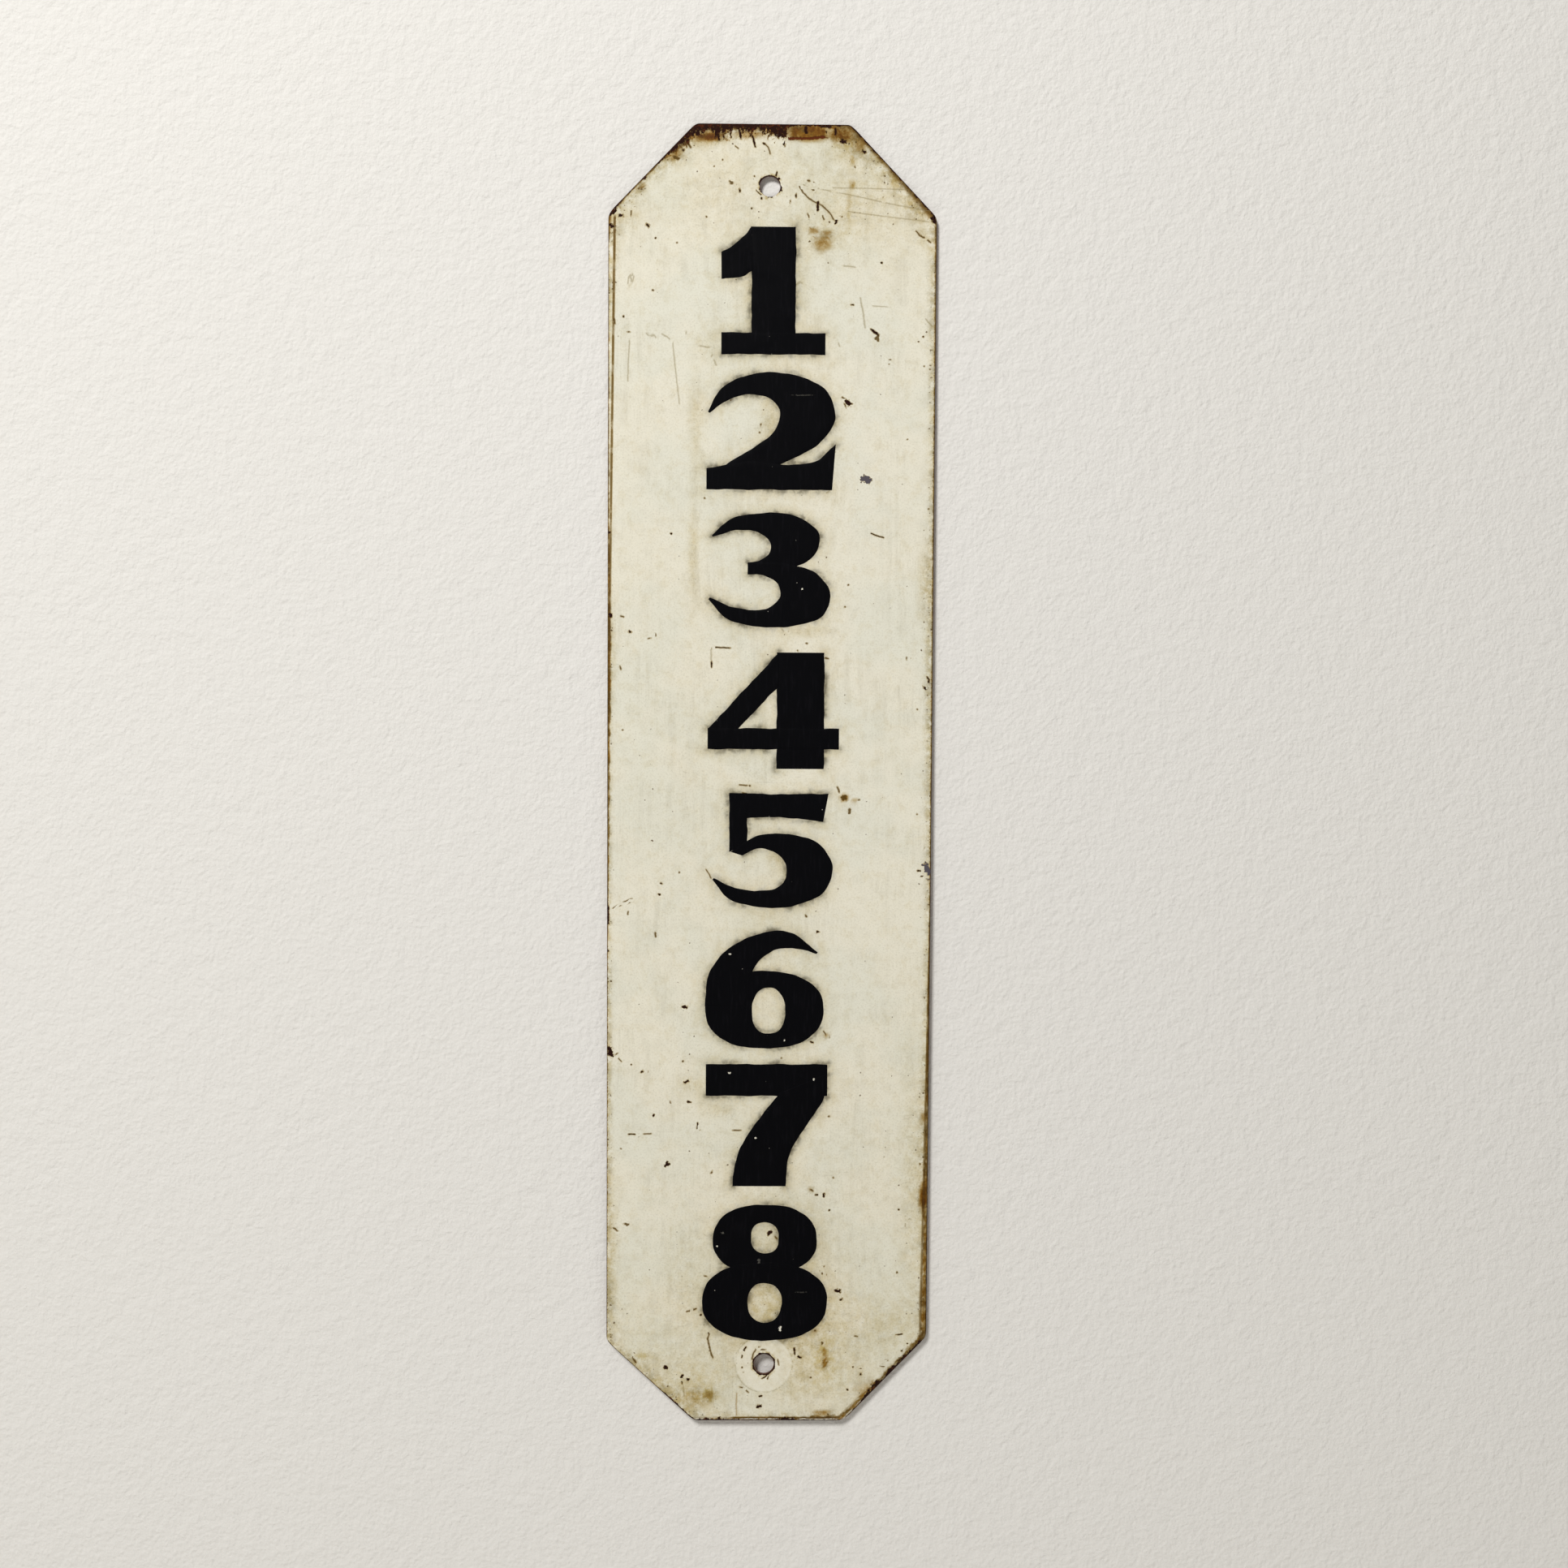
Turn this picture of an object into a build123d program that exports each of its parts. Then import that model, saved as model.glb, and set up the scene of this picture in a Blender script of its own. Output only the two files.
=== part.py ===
from build123d import *
import os
from math import hypot, radians, sin, cos

# A wall sign cut from one sheet of steel: a tall octagon with a fixing hole near each end.
# Its painted face looks towards -Y, its back lies towards the wall at +Y, and Z runs up it.
# The origin is on the flat of the back, midway between the two holes.
# All lengths are in millimetres and all angles in degrees.

# The sheet
width = 152.4
height = 609.6
sheet_thickness = 1.5

# The four corner cuts, made by hand and so not quite alike: how far each runs across and along
top_left_across = 40.3
top_left_along = 41.5
top_right_across = 40.1
top_right_along = 41.9
bottom_left_across = 41.7
bottom_left_along = 38.6
bottom_right_across = 39.0
bottom_right_along = 40.4
corner_radius = 1.5

# The fixing holes, measured from the ends and from the middle of the width
hole_diameter = 9.5
top_hole_drop = 28.5
bottom_hole_rise = 27.6
holes_left_of_middle = 1.3

# Where the shears and mallet turned the rim back towards the wall.
# The lips on the long sides start at a corner and run out to nothing.
lip_angle = 20.0
left_lip_width = 3.0
left_lip_length = 258.0
right_lip_width = 3.0
right_lip_length = 196.0
corner_lip_width = 3.0
bottom_lip_width = 1.4

# Places that follow from the sizes above
hole_spacing = height - top_hole_drop - bottom_hole_rise
top = hole_spacing / 2 + top_hole_drop
bottom = top - height
left = holes_left_of_middle - width / 2
right = left + width

# The eight corners of the outline as (x, z), anticlockwise as the face is read
top_left_upper = (left + top_left_across, top)
top_left_lower = (left, top - top_left_along)
bottom_left_upper = (left, bottom + bottom_left_along)
bottom_left_lower = (left + bottom_left_across, bottom)
bottom_right_lower = (right - bottom_right_across, bottom)
bottom_right_upper = (right, bottom + bottom_right_along)
top_right_lower = (right, top - top_right_along)
top_right_upper = (right - top_right_across, top)
corners = [
    top_left_upper, top_left_lower, bottom_left_upper, bottom_left_lower,
    bottom_right_lower, bottom_right_upper, top_right_lower, top_right_upper,
]


def outline():
    """The sign's outline in the XZ plane, its corners rounded by the file."""
    octagon = make_face(Plane.XZ * Polyline(*corners, close=True))
    return fillet(octagon.vertices(), corner_radius)


def outward(start, end):
    """The level direction out of the sign, across a crease that runs anticlockwise round it."""
    run_x = end[0] - start[0]
    run_z = end[1] - start[1]
    length = hypot(run_x, run_z)
    return run_z / length, -run_x / length


def crease(start, end):
    """A line where the sheet is bent, and the slope that it falls at beyond that line."""
    out_x, out_z = outward(start, end)
    tilt = radians(lip_angle)
    return Plane(
        origin=(start[0], 0, start[1]),
        x_dir=(end[0] - start[0], 0, end[1] - start[1]),
        z_dir=(-out_x * sin(tilt), cos(tilt), -out_z * sin(tilt)),
    )


def inset(start, end, distance):
    """The same side of the outline, moved into the sign by a distance."""
    out_x, out_z = outward(start, end)
    return [(x - out_x * distance, z - out_z * distance) for x, z in (start, end)]


def creases():
    """The four creases. A long side's crease starts inside its corner and ends on the edge."""
    left_start = (left + left_lip_width, top_left_lower[1])
    left_end = (left, top_left_lower[1] - left_lip_length)
    right_start = (right - right_lip_width, bottom_right_upper[1])
    right_end = (right, bottom_right_upper[1] + right_lip_length)
    return [
        crease(left_start, left_end),
        crease(right_start, right_end),
        crease(*inset(bottom_right_lower, bottom_right_upper, corner_lip_width)),
        crease(*inset(bottom_left_lower, bottom_right_lower, bottom_lip_width)),
    ]


def former():
    """The block that the sheet is dressed over: level, and falling away beyond each crease."""
    reach = width + height
    block = Box(reach, reach, reach, align=(Align.CENTER, Align.MIN, Align.CENTER))
    for bend in creases():
        block = split(block, bisect_by=bend, keep=Keep.TOP)
    return block


def fixing_holes():
    """Two rods that punch the holes through the sheet, on one line along the sign."""
    rod = Cylinder(hole_diameter / 2, 4 * sheet_thickness, rotation=(90, 0, 0))
    return [Pos(0, 0, z) * rod for z in (hole_spacing / 2, -hole_spacing / 2)]


def sign_plate():
    """The dressed sheet: what lies between the former and the same former one sheet forward."""
    depth = 2 * (sheet_thickness + max(left_lip_width, right_lip_width, corner_lip_width, bottom_lip_width))
    blank = extrude(outline(), depth, both=True)
    block = former()
    sheet = (blank & Pos(0, -sheet_thickness, 0) * block) - block
    return sheet - fixing_holes()


plate = sign_plate()
plate.label = "sign_plate"

os.makedirs("parts", exist_ok=True)
export_step(plate, "parts/sign_plate.step")
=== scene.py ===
from math import radians

import bpy
import numpy as np
from bpy.props import FloatProperty, FloatVectorProperty, IntProperty, PointerProperty
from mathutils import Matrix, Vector


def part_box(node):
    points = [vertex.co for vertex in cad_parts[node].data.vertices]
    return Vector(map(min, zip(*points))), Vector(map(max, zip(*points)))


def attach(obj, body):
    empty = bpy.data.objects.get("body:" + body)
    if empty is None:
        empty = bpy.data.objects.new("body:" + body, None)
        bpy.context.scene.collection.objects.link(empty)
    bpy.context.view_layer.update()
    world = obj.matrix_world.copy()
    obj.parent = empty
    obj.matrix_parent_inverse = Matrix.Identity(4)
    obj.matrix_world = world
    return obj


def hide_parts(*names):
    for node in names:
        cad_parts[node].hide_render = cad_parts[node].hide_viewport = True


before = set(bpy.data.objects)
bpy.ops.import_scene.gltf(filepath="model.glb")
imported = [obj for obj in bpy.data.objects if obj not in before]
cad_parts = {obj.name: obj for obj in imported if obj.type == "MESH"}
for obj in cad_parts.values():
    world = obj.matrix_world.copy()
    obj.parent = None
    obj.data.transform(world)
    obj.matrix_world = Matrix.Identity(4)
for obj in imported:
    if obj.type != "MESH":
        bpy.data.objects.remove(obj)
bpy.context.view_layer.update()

bl_info = {
    "name": "Painted Sign Plate",
    "version": (1, 0, 0),
    "blender": (4, 5, 0),
    "location": "3D View > Sidebar > Sign Plate",
    "description": "Builds a weathered cream sign plate with a column of hand-painted numerals",
    "category": "Object",
}

NODE = "sign_plate"
BODY = "root"
MM = 0.001

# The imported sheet: its box, and the face and back of its flat middle
LOW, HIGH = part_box(NODE)
LEFT, FACE, BOTTOM = LOW
RIGHT, _, TOP = HIGH
BACK = 0.0


def screen(red, green, blue):
    """A colour written as 0 to 255 screen values, turned into the linear values that shaders take."""
    values = np.array((red, green, blue)) / 255
    linear = np.where(values <= 0.04045, values / 12.92, ((values + 0.055) / 1.055) ** 2.4)
    return tuple(float(v) for v in linear)


def length(name, description, default_mm):
    """A length property, its default given in millimetres."""
    return FloatProperty(
        name=name, description=description, default=default_mm * MM, unit="LENGTH", precision=5
    )


def colour(name, description, default):
    """A colour property, its default given as screen values."""
    return FloatVectorProperty(
        name=name, description=description, default=screen(*default), subtype="COLOR", size=3, min=0, max=1
    )


class SheetSizes(bpy.types.PropertyGroup):
    """Sizes of the steel sheet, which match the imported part."""

    top_left_across: length("Top left across", "How far the top left corner cut runs across", 40.3)
    top_left_along: length("Top left along", "How far the top left corner cut runs down", 41.5)
    top_right_across: length("Top right across", "How far the top right corner cut runs across", 40.1)
    top_right_along: length("Top right along", "How far the top right corner cut runs down", 41.9)
    bottom_left_across: length("Bottom left across", "How far the bottom left corner cut runs across", 41.7)
    bottom_left_along: length("Bottom left along", "How far the bottom left corner cut runs up", 38.6)
    bottom_right_across: length("Bottom right across", "How far the bottom right cut runs across", 39.0)
    bottom_right_along: length("Bottom right along", "How far the bottom right corner cut runs up", 40.4)
    lip_angle: FloatProperty(
        name="Lip angle",
        description="How far the dressed rim turns back",
        default=radians(20),
        unit="ROTATION",
    )
    left_lip_width: length("Left lip", "Width of the left lip at the corner it starts from", 3.0)
    left_lip_length: length("Left lip length", "How far down the left lip runs out", 258.0)
    right_lip_width: length("Right lip", "Width of the right lip at the corner it starts from", 3.0)
    right_lip_length: length("Right lip length", "How far up the right lip runs out", 196.0)
    corner_lip_width: length("Corner lip", "Width of the lip on the lower right corner cut", 3.0)
    bottom_lip_width: length("Bottom lip", "Width of the lip on the bottom edge", 1.4)
    hole_diameter: length("Hole diameter", "Diameter of the two fixing holes", 9.5)
    hole_spacing: length("Hole spacing", "Distance between the two fixing holes", 553.5)
    face_depth: length("Face depth", "How far the cream face lies behind the top of the black paint", 0.17)
    rim_radius: length("Rim radius", "Radius that the paint gives the front of the rim", 0.35)
    grid_step: length("Grid step", "Distance between the points of the sheet's surface", 1.5)


class PaintLook(bpy.types.PropertyGroup):
    """Colours of the paint and of its wear, and the thickness of the black film."""

    cream: colour("Cream", "The ground coat of the face", (228, 223, 205))
    cool_cream: colour("Cool cream", "Thin places of the ground coat", (222, 220, 204))
    grime: colour("Grime", "Dirt settled on the face", (138, 127, 90))
    stain: colour("Stain", "What a stain leaves of the cream, as a tint over it", (213, 195, 138))
    smoke: colour("Smoke", "Thinned black round the numerals", (62, 54, 38))
    amber: colour("Amber", "Rust water dried on the paint", (150, 112, 40))
    tea: colour("Tea", "A thin coat of rust water, as a tint over the cream", (206, 180, 114))
    olive: colour("Olive", "A thin coat of old oil and dirt, as a tint over the cream", (193, 175, 130))
    umber: colour("Umber", "Brown scratches and old drips", (86, 64, 24))
    rust: colour("Rust", "Bare rusted steel", (88, 40, 16))
    dark_rust: colour("Dark rust", "Old scale on bare steel", (36, 15, 9))
    slate: colour("Slate", "Blue grey steel in the fresh chips", (78, 74, 84))
    black: colour("Black", "The paint of the numerals", (5, 5, 7))
    film: length("Film", "Thickness of the black paint", 0.12)
    wobble: length("Wobble", "How far the painted edges wander", 0.16)
    seed: IntProperty(name="Seed", description="Seed of the small random wear", default=7)


class StageLook(bpy.types.PropertyGroup):
    """The wall, the floor, the lamps and the camera."""

    wall: colour("Wall", "Colour of the wall and the floor", (225, 222, 216))
    wall_gap: length("Wall gap", "Gap between the back of the lips and the wall at the sign's top", 0.15)
    wall_lean: FloatProperty(
        name="Wall lean", description="How far the wall runs back for each unit down", default=0.0032, min=0
    )
    floor_drop: length("Floor drop", "How far the floor lies below the sign", 160.0)
    key_power: FloatProperty(
        name="Key power", description="Power of the main lamp", default=74.0, unit="POWER"
    )
    back_power: FloatProperty(
        name="Back power", description="Power of the rear lamp", default=14.0, unit="POWER"
    )
    sky: FloatProperty(
        name="Sky", description="Strength of the even light from all round", default=0.18, min=0
    )
    lens: FloatProperty(name="Lens", description="Focal length on a 36 mm frame", default=36.0, unit="CAMERA")


# The outline and the lips


def corner_points(s):
    """The outline's eight corners as x and z, anticlockwise from the top edge's left end."""
    return np.array([
        (LEFT + s.top_left_across, TOP),
        (LEFT, TOP - s.top_left_along),
        (LEFT, BOTTOM + s.bottom_left_along),
        (LEFT + s.bottom_left_across, BOTTOM),
        (RIGHT - s.bottom_right_across, BOTTOM),
        (RIGHT, BOTTOM + s.bottom_right_along),
        (RIGHT, TOP - s.top_right_along),
        (RIGHT - s.top_right_across, TOP),
    ])


# The eight sides in the order of the corners, each with the axis that its places are given on
SIDES = (
    ("top left", 0), ("left", 1), ("bottom left", 0), ("bottom", 0),
    ("bottom right", 0), ("right", 1), ("top right", 0), ("top", 0),
)


def outward(start, end):
    """The unit direction out of the sign, square to a line that runs anticlockwise round it."""
    run = np.subtract(end, start)
    return np.array((run[1], -run[0])) / np.hypot(*run)


def crease_lines(s):
    """The creases as (start, end) points: left side, right side, lower right corner and bottom edge.

    A long side's crease starts inside its corner and runs out on the edge. The other two are their
    side of the outline moved inwards.
    """
    points = corner_points(s)
    left_top = points[1] + (s.left_lip_width, 0)
    left_end = points[1] - (0, s.left_lip_length)
    right_low = points[5] - (s.right_lip_width, 0)
    right_end = points[5] + (0, s.right_lip_length)
    corner = points[4:6] - outward(points[4], points[5]) * s.corner_lip_width
    foot = points[3:5] - outward(points[3], points[4]) * s.bottom_lip_width
    return [(left_top, left_end), (right_low, right_end), tuple(corner), tuple(foot)]


def past_creases(x, z, s):
    """How far each point lies past the creases, negative on the flat middle: the most of the four."""
    furthest = np.full_like(x, -1.0)
    for start, end in crease_lines(s):
        out = outward(start, end)
        furthest = np.maximum(furthest, (x - start[0]) * out[0] + (z - start[1]) * out[1])
    return furthest


def fall(x, z, s):
    """How far the dressed rim falls back: the distance past the creases times the lip's tangent."""
    return np.maximum(past_creases(x, z, s), 0) * np.tan(s.lip_angle)


def line_at(z, start, end):
    """x on the straight line through two points, at heights z."""
    return start[0] + (z - start[1]) * (end[0] - start[0]) / (end[1] - start[1])


# Meshes


def border(index):
    """The outer indices of a grid as one loop, anticlockwise from its first corner."""
    return np.concatenate([index[0, :-1], index[:-1, -1], index[-1, :0:-1], index[:0:-1, 0]])


def between(rings):
    """Four-sided faces between rows of indices, each row a closed loop."""
    after = np.roll(rings, -1, axis=1)
    return np.stack([rings[:-1], after[:-1], after[1:], rings[1:]], axis=-1).reshape(-1, 4)


def grid_faces(index):
    """Four-sided faces of a grid of indices, as an array of the grid's cells."""
    return np.stack([index[:-1, :-1], index[:-1, 1:], index[1:, 1:], index[1:, :-1]], axis=-1)


class Shell:
    """Points and faces gathered from several surfaces for one mesh."""

    def __init__(self):
        self.points = np.empty((0, 3))
        self.faces = np.empty((0, 4), int)
        self.slots = np.empty(0, int)

    def add_points(self, x, y, z):
        """Adds points and returns their indices in the shape of x."""
        first = len(self.points)
        self.points = np.vstack([self.points, np.column_stack([np.ravel(x), np.ravel(y), np.ravel(z)])])
        return np.arange(first, len(self.points)).reshape(np.shape(x))

    def add_faces(self, faces, slot=0):
        """Adds four-sided faces that take the material in one slot."""
        faces = faces.reshape(-1, 4)
        self.faces = np.vstack([self.faces, faces])
        self.slots = np.append(self.slots, np.full(len(faces), slot))

    def make(self, name, materials):
        """Makes the mesh and its object, leaving out the points that no face uses."""
        used, faces = np.unique(self.faces, return_inverse=True)
        self.points = self.points[used]
        mesh = bpy.data.meshes.new(name)
        mesh.from_pydata(self.points.tolist(), [], faces.reshape(-1, 4).tolist())
        for material in materials:
            mesh.materials.append(material)
        mesh.polygons.foreach_set("material_index", self.slots.astype(np.int32))
        mesh.shade_smooth()
        piece = bpy.data.objects.new(name, mesh)
        bpy.context.collection.objects.link(piece)
        return piece


def write_attribute(mesh, name, columns):
    """Stores one value per point: three columns make a vector and four a colour."""
    kind, key = {3: ("FLOAT_VECTOR", "vector"), 4: ("FLOAT_COLOR", "color")}[len(columns)]
    attribute = mesh.attributes.new(name, kind, "POINT")
    attribute.data.foreach_set(key, np.column_stack(columns).astype(np.float32).ravel())


def declare(piece):
    """Says that a piece rides on the sign."""
    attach(piece, BODY)


# The sheet's surface

# Half the width of the square that is cleared round a hole, and the depth of the burr behind the rim
CLEARED = 9 * MM
BURR = 0.12 * MM

# The paint and steel in a hole as (growth of the radius, depth) in millimetres, down to the back
HOLE_FRONT = ((0.12, 0.0), (0.03, 0.06), (0.0, 0.20))
HOLE_BACK = ((0.0, -0.15), (0.15, 0.0))


def spaced(stops, step):
    """Values from the first stop to the last in even steps no longer than step, each stop kept."""
    stops = np.unique(np.round(stops, 7))
    counts = np.ceil(np.diff(stops) / step).astype(int)
    runs = [np.linspace(a, b, n, endpoint=False) for a, b, n in zip(stops, stops[1:], counts)]
    return np.concatenate(runs + [stops[-1:]])


def sheet_grid(s):
    """x and z of a grid over the sheet, each row running from edge to edge of the outline.

    An edge at height z is the innermost of three lines: the long side and the corner cuts above and
    below it. Between the edge and the crease a row has two steps, and between the creases even ones.
    """
    points = corner_points(s)
    left_crease, right_crease, corner_crease, foot_crease = crease_lines(s)
    z = spaced([*points[:, 1], foot_crease[0][1], right_crease[1][1], left_crease[1][1]], s.grid_step)
    left = np.maximum.reduce([
        np.full_like(z, LEFT),
        line_at(z, points[0], points[1]),
        line_at(z, points[2], points[3]),
    ])
    right = np.minimum.reduce([
        np.full_like(z, RIGHT),
        line_at(z, points[4], points[5]),
        line_at(z, points[6], points[7]),
    ])
    lip = 1.1 * s.grid_step
    inner_left = np.maximum(left + lip, line_at(z, *left_crease))
    inner_right = np.minimum.reduce([
        right - lip,
        line_at(z, *right_crease),
        line_at(z, *corner_crease),
    ])
    share = np.linspace(0, 1, round((RIGHT - LEFT) / s.grid_step))
    middle = inner_left[:, None] * (1 - share) + inner_right[:, None] * share
    x = np.column_stack([left, (left + inner_left) / 2, middle, (right + inner_right) / 2, right])
    return x, np.repeat(z[:, None], x.shape[1], axis=1)


def loop_normals(points):
    """The unit outward direction at each point of an anticlockwise loop, from its two neighbours."""
    run = np.roll(points, -1, axis=0) - np.roll(points, 1, axis=0)
    return np.column_stack([run[:, 1], -run[:, 0]]) / np.linalg.norm(run, axis=1)[:, None]


def pierce(shell, index, cells, x, z, centre, profile, s):
    """Cuts a round hole into the front and back grids and walls it.

    The cells near the hole's centre go. Between the hole and the square that they leave, a ring of
    faces runs from circle to square: a share t of the way out, a point is the circle's point times
    1 - t plus the square's point times t. The wall carries a profile of (growth of the radius, depth)
    round the circle.
    """
    near = (np.abs(x - centre[0]) < CLEARED) & (np.abs(z - centre[1]) < CLEARED)
    rows = np.flatnonzero(near.any(axis=1))
    columns = np.flatnonzero(near.any(axis=0))
    window = np.ix_(range(rows[0], rows[-1] + 1), range(columns[0], columns[-1] + 1))
    cells[rows[0]:rows[-1], columns[0]:columns[-1]] = False
    square = np.column_stack([border(x[window]), border(z[window])])
    angle = np.arctan2(square[:, 1] - centre[1], square[:, 0] - centre[0])
    ray = np.column_stack([np.cos(angle), np.sin(angle)])
    front = FACE + s.face_depth
    wall = []
    for side, (growth, depth) in ((0, profile[0]), (1, profile[-1])):
        circle = np.array(centre) + ray * (s.hole_diameter / 2 + growth)
        share = (np.arange(6) / 6)[:, None, None] ** 1.4
        ring = circle * (1 - share) + square * share
        ring_index = shell.add_points(ring[..., 0], np.full(ring.shape[:2], front + depth), ring[..., 1])
        faces = between(np.vstack([ring_index, border(index[side][window])]))
        shell.add_faces(faces[:, ::-1] if side == 0 else faces, slot=side)
        wall.append(ring_index[0])
    for growth, depth in profile[1:-1]:
        circle = np.array(centre) + ray * (s.hole_diameter / 2 + growth)
        wall.insert(-1, shell.add_points(circle[:, 0], np.full(len(circle), front + depth), circle[:, 1]))
    shell.add_faces(between(np.array(wall)), slot=1)


def sheet_shell(s):
    """The whole closed sheet: front, back, rim and two holes.

    The front is the grid at the face's height plus the fall of the rim, and the back the same grid one
    thickness further back. The rim carries a profile of (inset, depth) round the outline: a quarter
    round of the paint's radius, the cut edge, and a small burr.
    """
    x, z = sheet_grid(s)
    front = FACE + s.face_depth
    thickness = BACK - front
    turn = np.radians([0, 30, 60, 90])
    rim = [(s.rim_radius * (1 - np.sin(a)), s.rim_radius * (1 - np.cos(a))) for a in turn]
    rim += [(0, thickness - BURR), (BURR, thickness)]

    order = border(np.arange(x.size).reshape(x.shape))
    outline = np.column_stack([x.ravel()[order], z.ravel()[order]])
    for _ in range(3):
        outline = (np.roll(outline, 1, axis=0) + 2 * outline + np.roll(outline, -1, axis=0)) / 4
    outside = loop_normals(outline)

    shell = Shell()
    index = []
    cells = np.ones((x.shape[0] - 1, x.shape[1] - 1), bool)
    for inset, depth in (rim[0], rim[-1]):
        edge = outline - outside * inset
        x.ravel()[order], z.ravel()[order] = edge[:, 0], edge[:, 1]
        index.append(shell.add_points(x, front + depth + fall(x, z, s), z))

    profile = [(growth * MM, depth * MM) for growth, depth in HOLE_FRONT]
    profile += [(growth * MM, thickness + depth * MM) for growth, depth in HOLE_BACK]
    for side in (1, -1):
        pierce(shell, index, cells, x, z, (0, side * s.hole_spacing / 2), profile, s)
    shell.add_faces(grid_faces(index[0])[cells], slot=0)
    shell.add_faces(grid_faces(index[1])[cells][:, ::-1], slot=1)

    rings = [border(index[0])]
    for inset, depth in rim[1:-1]:
        edge = outline - outside * inset
        height = front + depth + fall(edge[:, 0], edge[:, 1], s)
        rings.append(shell.add_points(edge[:, 0], height, edge[:, 1]))
    rings.append(border(index[1]))
    shell.add_faces(between(np.array(rings[:4]))[:, ::-1], slot=0)
    shell.add_faces(between(np.array(rings[3:]))[:, ::-1], slot=1)
    return shell


# The numerals, drawn in millimetres round the middle of a box 60 wide and 56 high. A band lies between
# two edges, each a list of points, and a ring between two ovals given as centre and half sizes.

DRAWN = (60, 56)

NUMERALS = (
    (
        ("band", [(-10, -28), (-10, 28)], [(12, -28), (12, 28)]),
        ("band", [(-10, 28), (-16, 22), (-25, 16.5)], [(-9, 9), (-15, 6), (-25, 5)]),
        ("band", [(-25, -28), (27, -28)], [(-25, -18.5), (27, -18.5)]),
    ),
    (
        (
            "band",
            [
                (-27.5, 9), (-21, 21), (-6, 27.6), (11, 26.5), (24, 18.5), (27, 6), (20, -6), (5, -15),
                (-10, -23),
            ],
            [
                (-26.9, 8.4), (-19, 14.5), (-10, 17.5), (-1, 15.5), (3.5, 9), (1.5, 1), (-8, -8),
                (-19, -15.5), (-28, -22),
            ],
        ),
        ("band", [(-28, -28), (26, -28)], [(-28, -18), (-8, -14.5), (8, -16), (18, -14.5), (27.5, -6)]),
    ),
    (
        (
            "band",
            [(-26.5, 17), (-18, 25), (-3, 28.3), (13, 26.5), (22.5, 18.5), (21, 8), (9, 0.5), (-10, -2)],
            [(-26, 16.4), (-15, 19.6), (-5, 18.6), (0.5, 13.5), (-0.5, 8), (-4.5, 4.8), (-10, 3.6)],
        ),
        (
            "band",
            [
                (-10, 3.6), (9, 3), (22, -2), (28, -11), (25.5, -21.5), (12, -27.6), (-6, -28), (-20, -24),
                (-28, -14.5),
            ],
            [(-10, -2), (-2, -3), (4, -7), (5, -13), (1, -18), (-6, -20), (-16, -18.6), (-27.3, -13.8)],
        ),
    ),
    (
        ("band", [(2, -28), (2, 28)], [(24, -28), (24, 28)]),
        ("band", [(3, 28), (-30, -9)], [(3, 12), (-16, -9)]),
        ("band", [(-30, -18.5), (31, -18.5)], [(-30, -8.5), (31, -8.5)]),
    ),
    (
        ("band", [(-20, 15.5), (8, 16), (24.5, 14)], [(-20, 28), (8, 27.6), (27, 28)]),
        ("band", [(-20, -1), (-20, 28)], [(-11.5, 3), (-11.5, 28)]),
        (
            "band",
            [
                (-19.5, -1), (-8, 6.5), (8, 8), (22, 3.5), (29, -7), (26, -19), (12, -27), (-5, -28),
                (-20, -24), (-28, -14.5),
            ],
            [
                (-14, -2.5), (-6, 0.8), (1.5, -1), (6.5, -6), (7, -13), (2.5, -18.5), (-6, -20),
                (-17, -18.5), (-27.4, -13.8),
            ],
        ),
    ),
    (
        ("ring", (0.5, -9.5), (28.5, 18.5), (2.5, -10), (8, 11)),
        (
            "band",
            [(-28, -8), (-26.5, 7), (-17, 19.5), (-3, 26.5), (12, 27.8), (26, 18)],
            [(-7, -8), (-6.5, 5), (-2.5, 13.5), (5, 18.8), (14, 20), (25.5, 17.2)],
        ),
    ),
    (
        ("band", [(-28, 13.5), (28, 13.5)], [(-28, 28), (28, 28)]),
        (
            "band",
            [(28, 24), (26, 12), (17, -2), (10.5, -14), (9, -28)],
            [(6, 15), (-1, 6), (-9, -5), (-14, -16), (-15.5, -28)],
        ),
    ),
    (
        ("ring", (0, 13.8), (24.5, 14.5), (0, 14.5), (6.5, 6.5)),
        ("ring", (0, -12), (29.5, 16.3), (0, -12.5), (8, 8.2)),
    ),
)

# Where the numerals stand on the sign, each as its left, right, top and bottom in millimetres
PLACES = (
    (-27.0, 29.0, 258.4, 199.7),
    (-31.2, 34.1, 191.4, 137.2),
    (-30.0, 31.2, 126.1, 73.7),
    (-28.0, 32.8, 61.6, 6.9),
    (-27.5, 32.1, -4.5, -58.2),
    (-30.6, 28.4, -69.6, -125.3),
    (-30.3, 31.5, -132.8, -191.2),
    (-30.1, 30.5, -200.3, -265.1),
)


# How much higher each stroke lies than the stroke before it, and how deep its underside is in the sheet
STROKE_RISE = 0.02 * MM
SUNK = 0.03 * MM


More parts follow.
